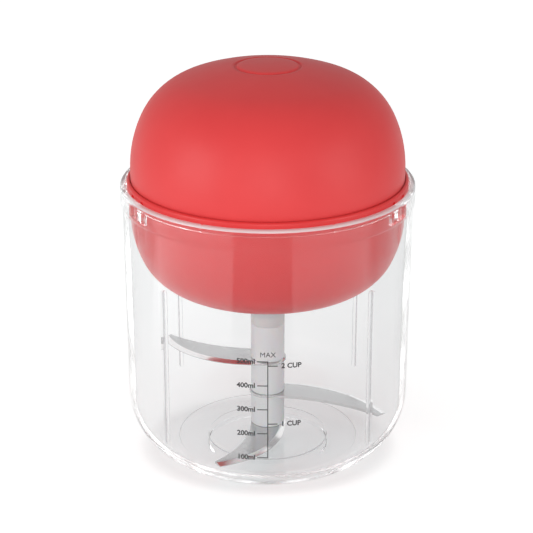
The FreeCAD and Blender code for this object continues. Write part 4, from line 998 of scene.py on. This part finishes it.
# %% Tongue, key pockets and port
RECESS_INSET = 1.8
COVER_WIDTH = 12.6
COVER_HEIGHT = 7.0
COVER_GAP = 0.2
SOCKET_WIDTH = 9.0
SOCKET_HEIGHT = 3.2
LIGHT_R = 1.2
LIGHT_Z = 134.2
KEY_GAP = 0.4
BACK = 90.0
TONGUE_LOW_Z = 118.4
ROOT_LOW_Z = 112.0
ARCH_Z = 150.0
TONGUE_SPAN = 40.0

shell = [p for p in dome_curve() if p[1] < ARCH_Z]
shell_in = [p for p in dome_curve(DOME_WALL) if p[1] < ARCH_Z]
tongue_corners = [(DOME_R, TONGUE_LOW_Z)] + shell + shell_in[::-1] + [(DOME_R - DOME_WALL, TONGUE_LOW_Z)]
tongue = sector("tongue", tongue_corners, BACK, TONGUE_SPAN, 24)
boolean(tongue, upright_plate("plate", TONGUE_WIDTH / 2, 100.0, TONGUE_TOP_Z, TONGUE_CORNER), "INTERSECT")
root_corners = upright_corners(HOUSING_R - HOUSING_WALL - 0.01, COLLAR_BORE_R + 0.2, ROOT_LOW_Z, SEAM_Z - 0.3)
root = sector("root", root_corners, BACK, TONGUE_SPAN, 24)
boolean(root, block("root_keep", (-TONGUE_WIDTH / 2, TONGUE_WIDTH / 2), (30, 70), (100, 130)), "INTERSECT")
boolean(housing, root, "UNION")
boolean(housing, tongue, "UNION")

CHANNEL_LOW_Z = 80.0
KEY_NOTCH = 0.7
channel_r = KEY_INNER_R - KEY_GAP
side_gap = math.degrees(KEY_GAP / HOUSING_R)
for place_deg, side in KEY_SETS:
    hook_edge = HOOK_SPAN / 2 + side_gap
    block_edge = BLOCK_OFFSET + BLOCK_SPAN / 2 + side_gap
    middle = from_front(place_deg) + side * (block_edge - hook_edge) / 2
    channel_corners = upright_corners(channel_r, RIM_R, CHANNEL_LOW_Z, FLANGE_Z)
    boolean(housing, sector("channel", channel_corners, middle, hook_edge + block_edge, 24))
    for offset, width in ((0.0, HOOK_SPAN), (BLOCK_OFFSET, BLOCK_SPAN / 2)):
        corners = upright_corners(COLLAR_R - KEY_NOTCH, RIM_R, FLANGE_Z - 1, BOWL_HEIGHT + 0.5)
        boolean(housing, sector("notch", corners, from_front(place_deg) + side * offset, width, 6))


def lying_bar(name, width, height, y_low, y_high, z):
    """A bar along Y with half-round sides."""
    piece = block(name, (-width / 2, width / 2), (y_low, y_high), (z - height / 2, z + height / 2))
    return round_edges(piece, lambda a, b: abs(a.y - b.y) > 0.1, height / 2 * 0.99, 8)


half_w = COVER_WIDTH / 2 + COVER_GAP
half_h = COVER_HEIGHT / 2 + COVER_GAP
boolean(housing, block("recess", (-half_w, half_w), (DOME_R - RECESS_INSET, RIM_R),
                       (PORT_Z - half_h, PORT_Z + half_h)))
boolean(housing, lying_bar("slot", SOCKET_WIDTH + 2 * COVER_GAP, SOCKET_HEIGHT + 2 * COVER_GAP,
                           DOME_R - 8, RIM_R, PORT_Z))
boolean(housing, lying_bar("light_hole", 2 * LIGHT_R, 2 * LIGHT_R, DOME_R - 8, RIM_R, LIGHT_Z))
smooth(housing, 35.0)
dress(housing, coral_satin, "motor_head", "coral_lower", "lower_housing")

# %% [markdown]
# ### The charging port
#
# A soft flap closes the port at the back. It turns on a steel pin near its lower
# edge, its face follows the dome, a plug on its back fits the socket's mouth and a
# lip on its upper edge takes a fingernail. Above it is the end of a light pipe.


# %% Cover, pin and light
def lying_rod(name, radius, x_half, y, z):
    """A round rod along X."""
    return rod(name, radius, 2 * x_half, (0.0, y, z), (0, math.pi / 2, 0), 32)


HINGE_R = 0.7
HINGE_RISE = 1.4
HINGE_PIN_R = 0.45
HINGE_PLAY = 0.05
COVER_FACE_GAP = 0.1
SOCKET_WALL = 0.35
PLUG_DEPTH = 0.9
LIP_R = 0.5
LIP_LENGTH = 5.0
cover_half = COVER_WIDTH / 2
cover_in = DOME_R - RECESS_INSET + COVER_FACE_GAP
hinge_y = cover_in + HINGE_R
hinge_z = PORT_Z - COVER_HEIGHT / 2 + HINGE_RISE
cover = block("port_cover_flap", (-cover_half, cover_half), (cover_in, RIM_R),
              (hinge_z, PORT_Z + COVER_HEIGHT / 2))
keep_section = [(0.0, 115.0), (DOME_R - COVER_FACE_GAP, 115.0)] + dome_curve(COVER_FACE_GAP)
boolean(cover, turn("cover_keep", keep_section), "INTERSECT")
boolean(cover, lying_rod("barrel", HINGE_R, cover_half, hinge_y, hinge_z), "UNION")
less = 2 * (SOCKET_WALL + 2 * COVER_GAP)
boolean(cover, lying_bar("plug", SOCKET_WIDTH - less, SOCKET_HEIGHT - less, cover_in - PLUG_DEPTH,
                         cover_in + COVER_FACE_GAP, PORT_Z), "UNION")
boolean(cover, lying_rod("lip", LIP_R, LIP_LENGTH / 2, DOME_R - COVER_FACE_GAP,
                         PORT_Z + COVER_HEIGHT / 2 - LIP_R), "UNION")
boolean(cover, lying_rod("pin_hole", HINGE_PIN_R + HINGE_PLAY, cover_half + 1.0, hinge_y, hinge_z))
soften(cover, 0.08, 2, 50.0)
smooth(cover, 40.0)
dress(cover, silicone, "port_cover", "cover_rubber", "port_cover")

BOARD_Y = 45.2
LIGHT_END_Y = DOME_R - 0.3
light_pipe = rod("light_pipe", LIGHT_R, LIGHT_END_Y - BOARD_Y,
                 (0.0, (LIGHT_END_Y + BOARD_Y) / 2, LIGHT_Z), (math.pi / 2, 0, 0), 48)
soften(light_pipe, 0.15, 3, 50.0)
smooth(light_pipe, 40.0)
dress(light_pipe, inner_finishes["light_plastic"], "motor_head", "light_plastic", "charge_light")

# %% [markdown]
# ## The graduation
#
# The scale on the front of the bowl is thin dark print: a tall line with a tick and
# a label every hundred millilitres on the left, two cup marks on the right and a
# limit on top. Letters are made flat as text objects, turned into a mesh and then
# laid round the wall, point by point.

# %% Marks and labels
PRINT_GAP = 0.03
TICK_LENGTH = 4.1
CUP_TICK_LENGTH = 3.8
PRINT_THICKNESS = 0.05
LINE = 0.38
LETTER = 2.9
LETTER_WEIGHT = 0.09
TICKS = {"500ml": 65.0, "400ml": 54.8, "300ml": 44.6, "200ml": 34.2, "100ml": 23.7}
CUPS = {"2 CUP": 63.2, "1 CUP": 38.4}
LABEL_X = -4.9
CUP_LABEL_X = 5.2
LIMIT_Z = 67.8


def wrap(piece):
    """Lays a flat print, drawn as x across and z up, round the bowl's wall."""
    for vertex in piece.data.vertices:
        z = vertex.co.z / MM
        radius = wall_r(z) + PRINT_GAP + PRINT_THICKNESS - vertex.co.y / MM
        angle = vertex.co.x / MM / WALL_R
        vertex.co.x = radius * math.sin(angle) * MM
        vertex.co.y = -radius * math.cos(angle) * MM
    return piece


def bar(x_range, z_range):
    piece = block("mark", x_range, (0.0, PRINT_THICKNESS), z_range)
    bpy.ops.object.mode_set(mode="EDIT")
    bpy.ops.mesh.select_all(action="SELECT")
    bpy.ops.mesh.subdivide(number_cuts=4)
    bpy.ops.object.mode_set(mode="OBJECT")
    return piece


def label(words, x, z, align, weight=LETTER_WEIGHT):
    """Words as a thin mesh: x is the near edge and z the middle of the letters."""
    deselect()
    bpy.ops.object.text_add(location=(0, 0, 0))
    text = bpy.context.object
    text.data.body = words
    text.data.size = LETTER * MM
    text.data.align_x = align
    text.data.align_y = "CENTER"
    text.data.extrude = PRINT_THICKNESS / 2 * MM
    text.data.offset = weight * MM
    text.data.resolution_u = 3
    text.rotation_euler = (math.radians(90), 0, 0)
    bpy.ops.object.convert(target="MESH")
    text = bpy.context.object
    return move_to(text, x, PRINT_THICKNESS / 2, z)


prints = [bar((-LINE / 2, LINE / 2), (TICKS["100ml"] - LINE / 2, TICKS["500ml"] + LINE / 2))]
for words, z in TICKS.items():
    prints.append(bar((-TICK_LENGTH, 0.0), (z - LINE / 2, z + LINE / 2)))
    prints.append(label(words, LABEL_X, z, "RIGHT"))
for words, z in CUPS.items():
    prints.append(bar((0.0, CUP_TICK_LENGTH), (z - LINE / 2, z + LINE / 2)))
    prints.append(label(words, CUP_LABEL_X, z, "LEFT"))
prints.append(label("MAX", 0.0, LIMIT_Z, "CENTER", 0.0))
deselect()
for piece in prints:
    piece.select_set(True)
bpy.context.view_layer.objects.active = prints[0]
bpy.ops.object.join()
graduation = bpy.context.object
graduation.name = "graduation_print"
clean(graduation)
wrap(graduation)
dress(graduation, print_ink, "bowl", "clear_bowl")

# %% [markdown]
# ## Springs under the dome
#
# The four springs shorten when the dome goes down. Here they are copied from the construction model as they
# stand.

# %% Springs under the dome
springs = bpy.data.objects.new("dome_springs", nodes["return_springs"].data.copy())
bpy.context.scene.collection.objects.link(springs)
clean(pick(springs))
smooth(springs, 60.0)
dress(springs, inner_finishes["spring_steel"], "motor_head", "spring_steel", "return_springs")
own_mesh(springs)

# %% [markdown]
# ## Floor, light and camera
#
# The portrait is a plain studio one: a white floor that runs out of the picture, three low softboxes with the
# left one the strongest, soft light from all round, and a long lens that looks down at the chopper. The floor
# is white by its own colour, and a little of its own light is shown only to the camera, also through the
# clear wall, and in part to reflections, so that it stays white without more light on the object. That light
# is weaker close to the bowl, which paints shade on the floor under the bowl and a soft contact shadow round
# its base. It is weaker still through the clear wall, most of all on the right, which paints more shade under
# the bowl, darker on the right side.
#
# Two bright cards lie on the floor in front of the chopper, left and right. Only
# reflections see them, also through the clear wall: they give the two light bands
# on the belly, and they fade towards the bowl, so that the bands fade below it.

# %% Floor
FLOOR_GLOW = (0.533, 0.548, 0.545, 1.0)
# Painted shadow: shares of the floor's own light by distance from the axis, in fractions of 100 mm, which
# paint shade under the bowl and a soft contact shadow round its base.
NEAR_FLOOR_PAINTED_SHADOW = ((0.0, 0.80), (0.20, 0.82), (0.30, 0.84), (0.37, 0.77), (0.42, 0.79), (0.48, 0.71),
              (0.52, 0.82), (0.55, 0.96), (0.58, 1.0))
# Stretches the floor's coordinates front to back, so that the painted shadow is narrower in front and behind.
FRONT_STEEPER = 1.2
# Painted shade: the share of the floor's light that is seen through the clear wall, from the left side to the
# right.
THROUGH_CLEAR_PAINTED_SHADE = (0.92, 0.71)
MIRRORED_GLOW = 0.6
FLOOR_SIZE = 6.0


def floor_material():
    material, tree, shader = new_material("floor_white")
    vector = object_coordinates(tree, (1.0, FRONT_STEEPER, 1.0))
    tint = tones(tree, noise(tree, vector, 3.0), (0.84, 0.84, 0.84), (0.86, 0.86, 0.86))
    tree.links.new(tint, shader.inputs["Base Color"])
    constants(shader, {"Roughness": 0.9, "Specular IOR Level": 0.0, "Emission Color": FLOOR_GLOW})
    from_axis = distance_from_axis(tree, vector)
    # Painted shadow: the floor's light dimmed by distance from the axis.
    near = tree.nodes.new("ShaderNodeValToRGB")
    stops = near.color_ramp.elements
    stops[0].position = NEAR_FLOOR_PAINTED_SHADOW[0][0]
    stops[1].position = NEAR_FLOOR_PAINTED_SHADOW[-1][0]
    for radius, _ in NEAR_FLOOR_PAINTED_SHADOW[1:-1]:
        stops.new(radius)
    for stop, (_, share) in zip(stops, NEAR_FLOOR_PAINTED_SHADOW):
        stop.color = (share, share, share, 1.0)
    tree.links.new(ranged(tree, from_axis, (0.0, 1.0), (0.0, 0.1)), near.inputs["Fac"])
    far = ranged(tree, from_axis, (1.0, 1.16), (0.25, 0.85))
    sides = tree.nodes.new("ShaderNodeSeparateXYZ")
    tree.links.new(vector, sides.inputs["Vector"])
    # Painted shade: the floor seen through the clear wall keeps less of its light, least on the right.
    painted_shade_behind_clear = ranged(tree, sides.outputs["X"], THROUGH_CLEAR_PAINTED_SHADE, (-0.05, 0.05))
    painted_shade_through_clear = tree.nodes.new("ShaderNodeMapRange")
    constants(painted_shade_through_clear, {"To Min": 1.0})
    wired(tree, painted_shade_through_clear, {"Value": seen_by(tree, "Is Transmission Ray"), "To Max": painted_shade_behind_clear})
    mirrored = ranged(tree, seen_by(tree, "Is Glossy Ray"), (0.0, MIRRORED_GLOW))
    glow = calculated(tree, "MAXIMUM", seen_by(tree, "Is Camera Ray", "Is Transmission Ray"), mirrored)
    for share in (near.outputs["Color"], far, painted_shade_through_clear.outputs["Result"]):
        glow = calculated(tree, "MULTIPLY", glow, share)
    tree.links.new(glow, shader.inputs["Emission Strength"])
    return material


deselect()
bpy.ops.mesh.primitive_plane_add(size=FLOOR_SIZE, location=(0, 0, 0))
floor = added("floor")
floor.data.materials.append(floor_material())


# %% Cards that only reflections see
CARD_FADE = (0.14, 0.25)
CARD_RISE = 0.5


def card_material(name, strength):
    material, tree, shader = new_material(name)
    tree.nodes.remove(shader)
    light = tree.nodes.new("ShaderNodeEmission")
    from_axis = distance_from_axis(tree, object_coordinates(tree))
    fade = ranged(tree, from_axis, (0.0, strength), CARD_FADE)
    mirrored = ranged(tree, seen_by(tree, "Glossy Depth"), (0.0, 1.0))
    tree.links.new(calculated(tree, "MULTIPLY", fade, mirrored), light.inputs["Strength"])
    through = tree.nodes.new("ShaderNodeBsdfTransparent")
    both = tree.nodes.new("ShaderNodeAddShader")
    wired(tree, both, {0: through.outputs["BSDF"], 1: light.outputs["Emission"]})
    wired(tree, tree.nodes["Material Output"], {"Surface": both.outputs["Shader"]})
    return material


def floor_card(name, corners, strength):
    card = draw(name, corners, "XY")
    bpy.ops.mesh.edge_face_add()
    bpy.ops.mesh.select_all(action="SELECT")
    bpy.ops.transform.translate(value=(0, 0, CARD_RISE * MM))
    bpy.ops.object.mode_set(mode="OBJECT")
    card.data.materials.append(card_material(name, strength))


floor_card("left_card", [(-56, -122), (-178, -376), (-350, -258), (-372, 24), (-136, 4)], 0.6)
floor_card("right_card", [(40, -134), (126, -388), (330, -290), (372, -52), (134, -20)], 0.44)


# %% Lights
LAMP_REACH = 1.1
LAMP_RISE = math.radians(12)
LAMP_SIZE = 0.6
AIM_Z = 0.09
LAMPS = (("left_softbox", -60, 4.6), ("front_softbox", 0, 2.9), ("right_softbox", 60, 2.6))
away = LAMP_REACH * math.cos(LAMP_RISE)
for name, side_deg, power in LAMPS:
    side = math.radians(side_deg)
    deselect()
    bpy.ops.object.light_add(type="AREA", rotation=(math.pi / 2 - LAMP_RISE, 0, side),
                             location=(away * math.sin(side), -away * math.cos(side),
                                       AIM_Z + LAMP_REACH * math.sin(LAMP_RISE)))
    lamp = bpy.context.object
    lamp.name = name
    lamp.data.size = LAMP_SIZE
    lamp.data.energy = power
    lamp.visible_transmission = False

WHITE = (1.0, 1.0, 1.0, 1.0)
world = bpy.data.worlds.new("studio")
bpy.context.scene.world = world
world.use_nodes = True
tree = world.node_tree
soft = tree.nodes["Background"]
bright = tree.nodes.new("ShaderNodeBackground")
constants(soft, {"Color": WHITE, "Strength": 0.45})
constants(bright, {"Color": WHITE, "Strength": 1.0})
mixed(tree, seen_by(tree, "Is Camera Ray", "Is Transmission Ray"), soft.outputs["Background"],
      bright.outputs["Background"], "World Output")

# %% Camera
CAMERA_DISTANCE = 0.728
CAMERA_RISE = math.radians(21.64)
TARGET = (-0.0005, 0.0, 0.0812)
camera_place = (TARGET[0], TARGET[1] - CAMERA_DISTANCE * math.cos(CAMERA_RISE),
                TARGET[2] + CAMERA_DISTANCE * math.sin(CAMERA_RISE))
deselect()
bpy.ops.object.camera_add(location=camera_place, rotation=(math.pi / 2 - CAMERA_RISE, 0, 0))
camera = bpy.context.object
camera.name = "portrait_camera"
camera.data.sensor_width = 36.0
camera.data.lens = 120.1
bpy.context.scene.camera = camera
bpy.context.scene.view_settings.view_transform = "Standard"
